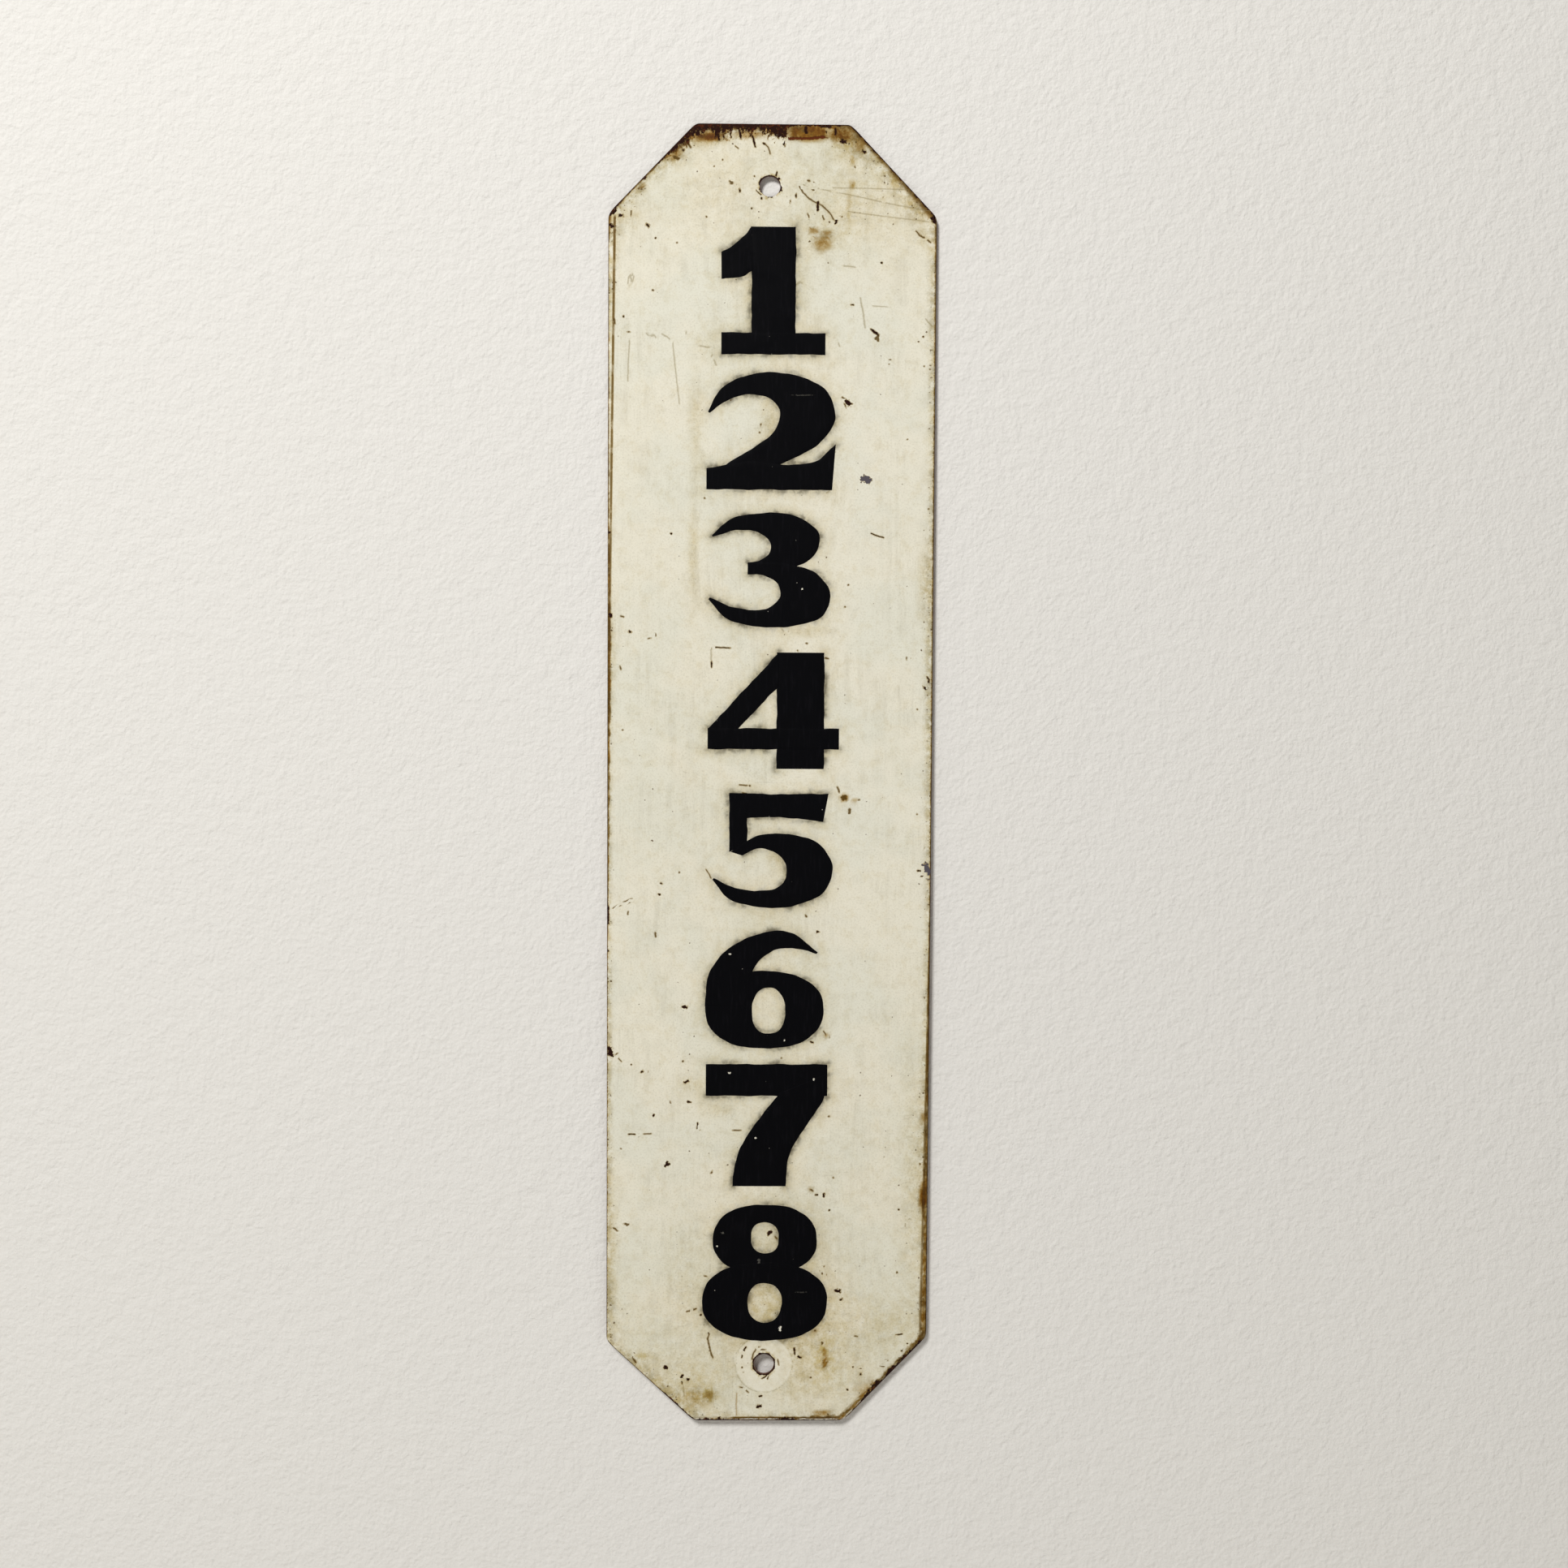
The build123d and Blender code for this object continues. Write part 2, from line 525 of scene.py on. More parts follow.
def smooth_line(points, count):
    """Points along a curve through the given ones, evenly spaced along the straight runs between them.

    Each run is a cubic whose slope at a given point is that of the chord between its neighbours.
    """
    points = np.array(points, float)
    knots = np.concatenate([[0], np.cumsum(np.linalg.norm(np.diff(points, axis=0), axis=1))])
    if len(points) > 2:
        slopes = np.gradient(points, knots, axis=0)
    else:
        slopes = np.tile((points[1] - points[0]) / knots[1], (2, 1))
    at = np.linspace(0, knots[-1], count)
    run = np.clip(np.searchsorted(knots, at, side="right") - 1, 0, len(points) - 2)
    span = (knots[run + 1] - knots[run])[:, None]
    t = (at - knots[run])[:, None] / span
    return (
        (2 * t**3 - 3 * t**2 + 1) * points[run] + (t**3 - 2 * t**2 + t) * span * slopes[run]
        + (3 * t**2 - 2 * t**3) * points[run + 1] + (t**3 - t**2) * span * slopes[run + 1]
    )


def oval(centre, half_sizes, count):
    """A slightly squared oval: each half size times the cosine or sine raised to a power below one."""
    angle = np.linspace(0, 2 * np.pi, count, endpoint=False)
    ray = np.column_stack([np.cos(angle), np.sin(angle)])
    return np.array(centre) + np.sign(ray) * np.abs(ray) ** 0.88 * half_sizes


def wandering(line, width, reach, random):
    """Moves a painted edge sideways by five sine waves of its length, less where the stroke is thin."""
    run = np.gradient(line, axis=0)
    along = np.cumsum(np.linalg.norm(run, axis=1))
    side = np.column_stack([run[:, 1], -run[:, 0]]) / np.linalg.norm(run, axis=1)[:, None]
    waves = np.round(along[-1] / (np.array([34, 17, 9, 5, 3.1]) * MM)) + 1
    phase = random.uniform(0, 2 * np.pi, 5)
    sines = np.sin(2 * np.pi * np.outer(along / along[-1], waves) + phase)
    shift = (sines * (0.6, 0.5, 0.35, 0.15, 0.05)).sum(axis=1)
    return line + side * (shift * reach * np.clip(width / (4 * MM), 0, 1))[:, None]


def strokes(look):
    """Each numeral's strokes as (kind, first edge, second edge), in metres on the sign."""
    random = np.random.default_rng(look.seed)
    numerals = []
    for drawing, (left, right, top, bottom) in zip(NUMERALS, PLACES):
        size = np.array((right - left, top - bottom)) / DRAWN
        middle = np.array((right + left, top + bottom)) / 2
        numeral = []
        for kind, *shape in drawing:
            if kind == "band":
                edges = [smooth_line(points, 161) for points in shape]
            else:
                edges = [oval(shape[0], shape[1], 200), oval(shape[2], shape[3], 200)]
            edges = [(edge * size + middle) * MM for edge in edges]
            width = np.linalg.norm(edges[0] - edges[1], axis=1)
            numeral.append((kind, *(wandering(edge, width, look.wobble, random) for edge in edges)))
        numerals.append(numeral)
    return numerals


def lay_stroke(shell, kind, first, second, surface, film):
    """Adds one closed film of paint between two edges.

    A point of it is the first edge times 1 - t plus the second times t. Its height is a quarter circle
    of the distance to the nearest edge, up to the film's thickness. The underside lies in the sheet.
    """
    width = np.linalg.norm(first - second, axis=1)
    inset = np.array([0, 0.01, 0.04, 0.09, 0.15]) * MM
    near = np.minimum(inset / np.maximum(width, 0.1 * MM)[:, None], 0.45)
    inner = near[:, -1:] + (1 - 2 * near[:, -1:]) * np.linspace(0, 1, 7)[1:-1]
    share = np.hstack([near, inner, 1 - near[:, ::-1]])
    points = first[:, None] * (1 - share[..., None]) + second[:, None] * share[..., None]
    from_edge = np.minimum(share, 1 - share) * width[:, None]
    if kind == "band":
        along = np.cumsum(np.linalg.norm(np.gradient((first + second) / 2, axis=0), axis=1))
        ends = np.minimum(along - along[0], along[-1] - along)
        from_edge = np.minimum(from_edge, ends[:, None])
    height = film * np.sqrt(1 - (1 - np.clip(from_edge / inset[-1], 0, 1)) ** 2)
    height[from_edge <= 0] = -SUNK
    x, z = points[..., 0], points[..., 1]
    top = shell.add_points(x, surface - height, z)
    under = shell.add_points(x, np.full_like(x, surface + SUNK), z)
    if kind == "ring":
        top, under = np.vstack([top, top[:1]]), np.vstack([under, under[:1]])
        under[:, [0, -1]] = top[:, [0, -1]]
    else:
        under[[0, -1]] = top[[0, -1]]
        under[:, [0, -1]] = top[:, [0, -1]]
    corners = points[0, 0], points[8, 0], points[8, -1]
    turn = np.cross(corners[1] - corners[0], corners[2] - corners[1])
    faces = grid_faces(top)
    if turn > 0:
        faces = faces[..., ::-1]
    shell.add_faces(faces)
    shell.add_faces(grid_faces(under)[..., ::-1] if turn <= 0 else grid_faces(under))


# Wear along the rim as (place along the side, value). Places are in millimetres: heights on the two long
# sides, and distances from the middle on the others. Between two places the value runs evenly.

# How far in from the edge the paint is gone and the steel bare, in millimetres
RUST = {
    "top": [
        (-36, 4.6), (-28, 3.6), (-23, 5.0), (-16, 3.4), (-9, 3.8), (-3, 3.2), (2, 5.2), (7, 5.4), (9, 0.8),
        (38, 0.6),
    ],
    "top left": [(-75, 0.8), (-73, 1.4), (-70, 0.4), (-54, 0.4), (-50, 0.7), (-44, 1.3), (-36, 3.2)],
    "left": [(-266, 0.15), (-70, 0.15), (-66, 0.5), (-58, 0.5), (-54, 0.15), (-12, 0.2), (262, 0.15)],
    "bottom left": [(-75, 0.7), (-72, 0.2), (-50, 0.2), (-44, 0.7), (-34, 0.6)],
    "bottom": [(-34, 1.1), (-21, 0.9), (-8, 0.5), (6, 0.6), (8, 1.5), (13, 1.4), (15, 0.5), (38, 0.5)],
    "bottom right": [
        (38, 0.5), (47, 0.4), (49, 1.8), (53, 1.9), (55, 0.5), (58, 1.3), (61, 1.5), (63, 0.5), (65, 1.5),
        (68, 1.3), (70, 0.5), (73, 1.4), (77, 0.9),
    ],
    "right": [(-264, 0.3), (-60, 0.15), (262, 0.15)],
    "top right": [(37, 0.6), (60, 0.5), (77, 1.0)],
}

# How far in rust water has dyed the paint, in millimetres
AMBER = {
    "top": [(-37, 2.0), (-33, 7.5), (-22, 7.5), (-18, 3.0), (2, 5.8), (8, 3.0), (38, 3.0)],
    "top left": [(-75, 0.8), (-50, 1.4), (-44, 4.0), (-36, 5.0)],
    "left": [(-100, 0.2), (-20, 1.2), (5, 1.6), (75, 1.8), (120, 0.8), (262, 0.4)],
    "bottom left": [(-75, 0.3), (-34, 0.7)],
    "bottom": [(-34, 1.2), (-14, 2.0), (18, 2.0), (24, 3.4), (33, 3.4), (38, 2.4)],
    "bottom right": [(38, 3.4), (60, 3.2), (77, 3.6)],
    "right": [
        (-264, 3.2), (-240, 2.6), (-210, 2.2), (-196, 3.8), (-185, 2.4), (-160, 1.4), (-60, 0.6),
        (262, 0.5),
    ],
    "top right": [(37, 2.0), (46, 1.2), (77, 1.4)],
}

# How far in dirt has gathered, in millimetres
GRIME = {
    "top": [(-37, 12.0), (0, 9.0), (24, 10.0), (38, 15.0)],
    "top left": [(-75, 8.0), (-60, 6.0), (-36, 12.0)],
    "left": [(-266, 6.0), (-180, 4.0), (80, 3.0), (200, 3.0), (262, 9.0)],
    "bottom left": [(-75, 5.0), (-34, 9.0)],
    "bottom": [(-34, 8.0), (-10, 6.0), (38, 7.0)],
    "bottom right": [(38, 6.0), (77, 4.0)],
    "right": [(-264, 6.0), (-180, 7.0), (-60, 4.0), (90, 7.0), (120, 4.0), (262, 6.0)],
    "top right": [(37, 14.0), (50, 11.0), (77, 13.0)],
}

# How strongly the brown line along a lip's crease shows, from 0 to 1
CREASE = {
    "left": [(-20, 0.0), (5, 0.3), (70, 0.7), (262, 1.0)],
    "bottom": [(-16, 0.2), (-14, 1.0), (8, 0.9), (34, 0.6), (38, 0.8)],
    "bottom right": [(38, 0.3), (50, 0.0), (77, 0.0)],
    "right": [(-264, 0.5), (-200, 0.6), (-90, 0.9), (-66, 0.5)],
}

# How strongly the outermost rim shows as a pale ridge of paint, from 0 to 1
RIDGE = {
    "bottom": [(-34, 0.9), (-8, 0.7), (38, 0.9)],
    "bottom right": [(38, 0.8), (47, 0.5), (60, 0.0)],
}

# How far in the rim is browned, in millimetres
RIM = {
    "top": [(-36, 1.2), (26, 1.2), (30, 2.0), (38, 3.4)],
    "top left": [(-75, 1.6), (-66, 1.0), (-50, 1.2), (-36, 2.4)],
    "left": [(-266, 0.6), (-90, 0.6), (0, 1.0), (60, 0.8), (90, 0.4), (250, 0.4), (262, 2.4)],
    "bottom left": [(-75, 0.5), (-34, 0.7)],
    "bottom": [(-34, 1.2), (38, 1.0)],
    "bottom right": [(38, 1.0), (77, 1.0)],
    "right": [(-264, 1.4), (-236, 1.2), (-100, 0.9), (180, 1.0), (255, 1.2), (262, 1.6)],
    "top right": [(37, 4.2), (46, 2.6), (60, 2.8), (70, 4.0), (77, 4.6)],
}

# Broad stains, each as (x, z, half width, half height, strength) in millimetres

STAINS = (
    (10, 284, 36, 14, 0.20), (30, 262, 18, 16, 0.24), (-30, 272, 32, 22, 0.18), (56, 272, 24, 26, 0.26),
    (24.5, 253, 6, 6, 0.35), (38, 278, 1.4, 2.4, 0.70), (36.6, 268, 1.6, 5, 0.30),
    (38.2, 289, 1.3, 2.6, 0.50), (35.6, 262.5, 2.4, 2.4, 0.45), (35.8, 256.6, 1.6, 1.2, 0.45),
    (-45, 290, 5, 4, 0.70), (-59.5, 275.8, 1.6, 2.2, 0.80), (-29, 298.5, 7, 3.2, 0.90),
    (36, 298, 8, 7, 0.80), (-68, 264, 8, 8, 0.40), (72, 254, 4, 5, 0.40), (68, 268, 5, 5, 0.45),
    (57.5, 281, 3, 2.5, 0.60), (2, 232, 13, 24, 0.42), (-28, 204, 8, 8, 0.20), (1, 165, 5, 20, 0.42),
    (-34, 168, 3.2, 22, 0.35), (-35, 108, 2.2, 22, 0.45), (8, 50, 10, 10, 0.20), (21, 71, 10, 2.2, 0.40),
    (73, 95, 3, 14, 0.40), (-73, 60, 2, 24, 0.45), (6, -36, 5, 8, 0.35), (0, -63, 14, 5, 0.20),
    (8, -98, 14, 16, 0.16), (-35, -143, 6, 4, 0.40), (-33, 0, 30, 120, 0.06), (-22, -155, 8, 3, 0.30),
    (8, -232, 22, 30, 0.30), (-38, -236, 10, 26, 0.20), (-5, -258, 30, 18, 0.32), (-36, -286, 24, 15, 0.45),
    (-26, -292, 3.2, 2.6, 0.90), (-32, -293, 7, 5, 0.45), (25, -285, 24, 14, 0.36),
    (36, -262, 30, 22, 0.25), (29, -272, 4, 8, 0.45), (-62, -262, 14, 24, 0.18), (71, -190, 6, 60, 0.34),
    (62, -258, 14, 12, 0.25), (-58, -273, 6, 2.4, 0.45), (20, -210, 90, 100, 0.10),
    (-72, -225, 2.6, 34, 0.35),
)

# Pools of dried rust water, each as (x, z, half width, half height, strength) in millimetres

POOLS = (
    (17.6, 301.5, 10.4, 3.9, 1.0), (33, 301, 7, 4.0, 0.72), (42, 296.5, 4, 4.0, 0.42),
    (-28.5, 299.2, 6.5, 2.4, 0.85), (-45, 291, 4, 3, 0.45), (-10, 300.5, 8, 2.0, 0.5),
    (24.4, 250.8, 4.4, 3.8, 0.52), (20.4, 256.6, 3.0, 1.2, 0.55), (26.6, 255.2, 2.6, 1.2, 0.50),
    (38, 278, 1.2, 2.0, 0.30), (36.6, 269.5, 1.2, 4.0, 0.12), (38.2, 289, 1.0, 2.2, 0.20),
    (-59.5, 275.8, 1.2, 1.6, 0.55), (36.5, -6.4, 2.0, 1.7, 0.75), (41.2, -8.0, 1.4, 1.0, 0.40),
    (28.6, -119.2, 1.6, 1.2, 0.45), (21.8, -192.8, 1.4, 1.0, 0.45), (75.8, -196, 2.4, 8.0, 0.85),
    (75.4, -158, 1.8, 4.0, 0.40), (76.0, -246, 1.6, 14.0, 0.55), (76.6, -220, 1.2, 12.0, 0.45),
    (29.2, -275.8, 1.2, 3.0, 0.80), (28.7, -270.4, 0.9, 1.8, 0.40), (-26, -292, 2.6, 2.0, 0.36),
    (-31, -293.5, 8.0, 4.6, 0.16), (28, -300.6, 5.0, 1.2, 0.60), (49, -289, 6.0, 5.0, 0.25),
    (8.6, -226.6, 3.6, 1.0, 0.40), (24.2, -260.4, 1.2, 1.0, 0.40),
)

# Small marks on the face in millimetres, each as its half width and the points along it

MARKS = {
    "dark": [
        (0.50, (-24.4, 301.5), (-23.9, 297.8)), (0.40, (-14.3, 302.0), (-13.6, 298.4)),
        (0.36, (-8.5, 299.8), (-7.5, 297.2), (-7.0, 294.6)), (0.30, (-3.2, 296.4), (-2.8, 295.8)),
        (1.00, (6.4, 301.5), (6.9, 298.6)), (0.55, (6.8, 298.0), (6.3, 295.5)),
        (0.55, (16.4, 303.8), (16.6, 301.2)), (0.70, (23.6, 304.2), (27.6, 304.0)),
        (0.40, (25.6, 303.2), (26.0, 301.4)), (0.60, (-40.3, 293.0)), (0.75, (33.2, 297.8), (34.4, 297.4)),
        (0.60, (43.2, 293.0), (43.8, 292.6)), (0.40, (30.0, 303.4), (30.2, 300.6)),
        (0.50, (-57.5, 280.6), (-59.0, 279.6)), (0.80, (-72.4, 264.3), (-71.4, 265.3)),
        (0.55, (-69.4, 262.9), (-68.2, 262.7)), (0.70, (-73.6, 258.4), (-72.8, 258.0)),
        (0.90, (75.6, 262.6), (76.4, 261.6)), (0.58, (-56.8, 258.8), (-56.2, 258.0)),
        (0.30, (-53.0, 252.6)), (0.38, (-54.1, 228.8)), (0.42, (-67.7, 216.6)), (0.30, (-8.5, 266.6)),
        (0.36, (-14.2, 275.2), (-14.0, 274.4)), (0.28, (9.5, 270.6), (9.4, 269.4)),
        (0.28, (2.7, 281.6), (3.1, 283.2)), (0.45, (4.9, 274.9), (5.3, 274.6)),
        (0.16, (5.3, 274.6), (6.0, 273.7)), (0.40, (-4.7, 275.5)),
        (0.14, (-6.4, 274.9), (-5.2, 273.6), (-3.8, 272.5)), (0.28, (-3.9, 271.6), (-3.9, 271.0)),
        (0.30, (12.0, 273.4), (12.1, 271.8)), (0.45, (22.4, 269.9), (22.0, 265.9)),
        (0.60, (30.9, 261.3), (30.5, 260.3)), (0.42, (31.0, 262.8)), (0.40, (32.3, 263.0)),
        (0.42, (52.0, 242.2)), (0.28, (38.0, 222.8), (39.0, 222.9)),
        (0.46, (47.4, 211.6), (48.6, 210.6), (50.6, 209.2)), (0.30, (71.6, 208.4)), (0.24, (69.4, 206.2)),
        (0.42, (56.3, 197.4)), (0.36, (55.8, 196.0)), (0.85, (36.6, 178.2), (37.6, 177.0)),
        (0.40, (47.0, 117.6)), (0.20, (47.6, 117.4), (50.8, 116.2), (54.0, 115.3)), (0.42, (-45.2, 116.6)),
        (0.40, (-74.0, 116.8)), (0.45, (-64.8, 70.8), (-64.2, 70.6)), (0.60, (-73.6, 78.8), (-73.2, 77.8)),
        (0.26, (-25.8, 63.4)), (0.20, (-24.6, 63.7), (-20.6, 63.6), (-17.4, 63.4)),
        (0.30, (-26.2, 57.2), (-26.2, 54.4)), (0.46, (73.4, 46.0), (74.4, 45.0)),
        (0.32, (74.8, 50.4), (75.8, 49.2), (75.4, 46.6)), (0.30, (-8.0, -1.0)), (0.42, (-49.4, -47.2)),
        (0.46, (-50.4, -52.4)), (0.34, (-74.3, -58.0), (-74.3, -66.4)), (0.50, (-74.4, -79.0)),
        (0.44, (24.0, -69.8), (24.8, -69.8)), (0.55, (-38.8, -105.6), (-37.4, -105.8)),
        (0.26, (-63.4, -133.2)), (0.28, (21.4, -122.0), (22.4, -122.4)),
        (1.00, (-73.6, -125.6), (-72.9, -128.6)), (0.34, (-39.0, -131.6)),
        (0.34, (-58.8, -137.0), (-57.6, -136.0)), (0.30, (-56.0, -136.8), (-55.6, -136.4)),
        (0.52, (-38.0, -141.4), (-36.6, -141.0)), (0.40, (-36.4, -150.8), (-35.4, -151.0)),
        (0.50, (-52.8, -157.4)), (0.30, (-31.8, -161.0), (-32.0, -163.6)),
        (0.26, (-31.2, -162.0), (-31.0, -164.2)), (0.45, (13.2, -160.2), (14.8, -160.2)),
        (0.40, (14.2, -164.0)), (0.22, (-64.8, -166.4), (-61.6, -166.4)),
        (0.85, (-46.8, -181.0), (-46.0, -180.4)), (0.30, (24.2, -195.2), (25.8, -195.2)),
        (0.45, (28.2, -194.6), (28.0, -195.8)), (0.40, (30.6, -202.6)), (0.30, (63.8, -202.2)),
        (0.85, (2.0, -213.6), (2.8, -213.4)), (0.36, (63.2, -232.4)),
        (0.75, (34.2, -241.6), (36.0, -241.2)), (0.50, (36.2, -245.6), (37.0, -245.4)),
        (0.22, (63.0, -262.6), (66.0, -262.2)), (0.42, (-30.0, -253.0)), (0.50, (-27.2, -252.8)),
        (0.36, (14.5, -269.0), (14.8, -272.4)), (0.42, (16.2, -273.0), (17.6, -273.6)),
        (0.62, (-46.9, -278.3), (-46.3, -278.7)), (0.50, (-38.7, -282.4), (-39.2, -284.0)),
        (0.30, (-38.9, -284.8), (-38.9, -286.2)), (0.42, (-37.0, -284.4), (-35.8, -284.3)),
        (0.62, (46.3, -279.4)), (0.42, (46.0, -281.6), (46.7, -281.5)), (0.38, (40.0, -289.2)),
        (0.26, (42.6, -278.2)), (0.24, (-0.8, -283.8), (0.8, -283.0), (1.9, -281.6)),
        (0.24, (2.2, -282.2), (1.8, -284.0)), (0.40, (-1.8, -292.4), (-1.2, -292.4)),
        (0.85, (-2.4, -297.3), (-1.8, -297.2)), (1.05, (54.8, -285.6), (52.2, -288.2)),
        (0.62, (62.6, -277.6), (59.0, -281.4)), (0.66, (67.6, -272.6), (66.0, -274.4)),
        (0.70, (75.2, -266.4), (74.4, -267.4)), (0.34, (66.4, -269.4), (65.6, -270.8)),
        (0.30, (68.4, -266.8)), (0.45, (-21.2, -302.6), (-21.0, -303.6)),
        (0.30, (71.2, -40.6), (73.6, -40.9)), (0.26, (71.8, -42.2), (74.0, -42.2)),
        (0.24, (72.4, -43.2), (74.4, -43.4)), (0.30, (-9.8, -270.8), (-8.6, -268.6)),
        (0.22, (-10.5, -273.8), (-10.2, -271.8)), (0.26, (-10.3, -278.4)), (0.26, (-9.8, -280.4)),
    ],
    "scratch": [
        (
            0.24, (13.6, 276.9), (15.2, 274.2), (18.0, 271.4), (21.0, 269.6), (23.4, 268.7), (25.6, 266.9),
            (27.8, 264.8), (29.6, 261.8),
        ),
        (0.55, (19.2, 275.9), (20.6, 275.7)), (0.30, (17.2, 279.6), (18.4, 279.3)),
        (0.24, (20.2, 278.8), (20.8, 277.6)), (0.55, (-18.4, 278.6), (-17.6, 278.2)), (0.28, (-7.2, 281.2)),
        (0.30, (-29.4, 262.6)), (0.30, (-22.0, 288.6)), (0.26, (-26.0, 285.6)), (0.28, (-43.0, 250.6)),
        (0.30, (-62.6, 266.6)), (0.24, (-64.8, 269.6), (-63.6, 268.4)),
        (0.18, (-63.8, 269.0), (-64.4, 262.4)), (0.90, (-45.2, 292.4), (-44.0, 292.0)),
        (0.60, (-44.4, 289.8), (-42.8, 289.0)), (0.34, (-38.2, 296.2), (-36.8, 294.2)),
        (0.22, (-2.6, 296.4), (-0.6, 294.0), (0.0, 291.4)), (0.20, (-16.2, 295.0), (-14.8, 293.8)),
        (0.30, (33.4, 263.2)), (0.24, (24.4, 263.6), (25.0, 261.8)), (0.24, (17.4, 264.6), (18.2, 262.6)),
        (0.22, (39.0, 286.6), (39.4, 285.6)), (0.30, (52.6, 272.2)), (0.30, (69.6, 265.6)),
        (0.30, (68.0, 256.8), (69.6, 254.8), (71.6, 254.0)), (0.26, (73.0, 253.0), (74.6, 251.8)),
        (0.34, (-72.0, 215.4), (-71.6, 213.2)), (0.34, (34.0, 180.2), (35.4, 179.4)),
        (0.22, (35.0, 177.4), (36.0, 175.4)), (0.55, (49.4, 207.4), (50.4, 208.2), (50.8, 206.6)),
        (0.22, (-3.6, 168.0), (-3.8, 166.6)), (0.30, (-4.2, 163.6)), (0.26, (72.2, 194.8)),
        (0.26, (74.8, 193.4)), (0.26, (64.6, 161.0)), (0.30, (74.8, 128.8)), (0.40, (-29.8, 133.2)),
        (0.30, (36.2, 83.0)), (0.34, (37.6, 93.2)), (0.30, (-52.6, 69.8), (-52.4, 69.0)),
        (0.20, (-56.2, 67.6), (-54.4, 67.9)), (0.26, (-68.6, 78.0), (-67.4, 77.6)),
        (0.30, (17.8, 65.8), (18.6, 65.8)), (0.22, (14.0, 62.6), (14.2, 62.0)),
        (0.28, (23.4, 59.6), (25.0, 59.4)), (0.28, (26.4, 59.2), (28.4, 58.8)),
        (0.24, (65.2, 59.6), (65.2, 58.6)), (0.24, (66.8, 59.2)), (0.30, (-69.0, 54.6), (-68.6, 53.0)),
        (0.30, (70.4, 35.2)), (0.30, (-67.8, 24.8)), (0.22, (-13.0, -0.6), (-9.0, -1.0)),
        (0.26, (-11.4, -4.4), (-9.6, -4.8)), (0.90, (35.6, -6.2), (36.8, -6.6)),
        (0.36, (34.0, -3.8), (33.2, -1.4)), (0.55, (39.2, -11.8), (39.0, -13.6)), (0.36, (43.4, -7.4)),
        (0.32, (70.8, -14.0)), (0.28, (-41.0, -42.0)),
        (0.16, (-28.6, -40.4), (-27.0, -42.6), (-26.0, -44.8)),
        (0.18, (-72.4, -59.2), (-68.0, -56.6), (-63.2, -54.4)), (0.26, (-69.8, -58.2), (-66.4, -56.4)),
        (0.20, (-66.4, -57.2), (-63.6, -56.0)), (0.26, (-65.0, -60.6), (-65.2, -61.8)),
        (0.30, (-52.2, -70.4), (-52.0, -72.4)), (0.34, (18.6, -62.0), (19.0, -62.6)),
        (0.26, (23.0, -101.6)), (0.30, (12.2, -111.6)), (0.22, (27.4, -117.0), (29.0, -119.2)),
        (0.30, (29.6, -118.6), (30.2, -120.0)), (0.28, (7.6, -129.8)),
        (0.22, (-71.2, -128.8), (-69.6, -127.6)), (0.22, (-69.4, -130.2), (-68.0, -131.8)),
        (0.22, (-45.4, -149.6), (-46.2, -152.2)), (0.24, (-45.2, -150.4), (-44.8, -151.6)),
        (0.28, (-68.2, -173.4)), (0.20, (-57.6, -166.3), (-53.6, -166.1)),
        (0.24, (-15.4, -164.4), (-11.4, -164.4)), (0.26, (15.4, -167.6)), (0.34, (30.2, -157.6)),
        (0.30, (32.6, -187.0)), (0.30, (-25.6, -185.2), (-24.8, -183.8)),
        (0.28, (21.6, -192.6), (23.0, -193.4)), (0.34, (73.6, -180.2)),
        (0.60, (-66.2, -209.6), (-65.0, -209.6)), (0.30, (-71.4, -211.4), (-69.6, -212.8)),
        (0.26, (5.0, -215.2), (6.0, -216.4)), (0.24, (28.6, -229.2), (28.2, -229.8)),
        (0.30, (26.8, -231.8), (27.8, -233.2)), (0.24, (29.4, -233.6)),
        (0.22, (4.6, -226.6), (8.0, -226.2), (12.0, -226.6)), (0.22, (5.6, -227.6), (9.8, -227.4)),
        (0.26, (-28.6, -234.2), (-27.2, -234.6)), (0.26, (-37.2, -251.6), (-34.4, -250.8)),
        (0.38, (-34.0, -250.6), (-32.4, -250.2)), (0.30, (24.4, -260.6)),
        (0.26, (43.0, -263.0), (44.4, -263.4)), (0.55, (27.8, -266.8)),
        (0.28, (-26.0, -262.0), (-26.8, -264.8), (-26.0, -268.0), (-25.2, -271.4), (-24.2, -274.0)),
        (0.36, (-62.4, -274.0), (-60.8, -276.2)), (0.22, (-5.6, -274.4), (-5.0, -271.6), (-3.6, -269.4)),
        (0.20, (-3.0, -268.8), (-1.8, -268.4)), (0.22, (6.6, -274.6), (7.2, -277.2)),
        (0.22, (-1.6, -269.8), (0.8, -269.8)), (0.24, (2.4, -271.8), (2.9, -273.0)),
        (0.22, (-11.4, -287.8), (-9.6, -288.4)), (0.22, (-8.8, -289.0), (-7.2, -290.6)),
        (0.36, (22.4, -283.2)), (0.26, (57.6, -274.6), (59.2, -275.2)),
        (0.26, (55.6, -277.6), (57.4, -277.9)), (0.22, (-66.0, 209.6), (-64.4, 209.4)),
    ],
    "faint": [
        (0.20, (14.6, 277.8), (24.0, 275.6), (40.0, 272.6), (58.0, 268.8), (75.6, 266.0)),
        (0.16, (24.0, 276.4), (46.0, 276.2), (64.0, 275.8)),
        (0.18, (36.0, 265.6), (52.0, 263.6), (74.0, 261.2)),
        (0.24, (-57.0, 208.8), (-55.4, 207.2), (-54.0, 208.8), (-52.6, 207.0)),
        (0.30, (-49.8, 208.6), (-47.6, 207.4), (-45.8, 206.0)),
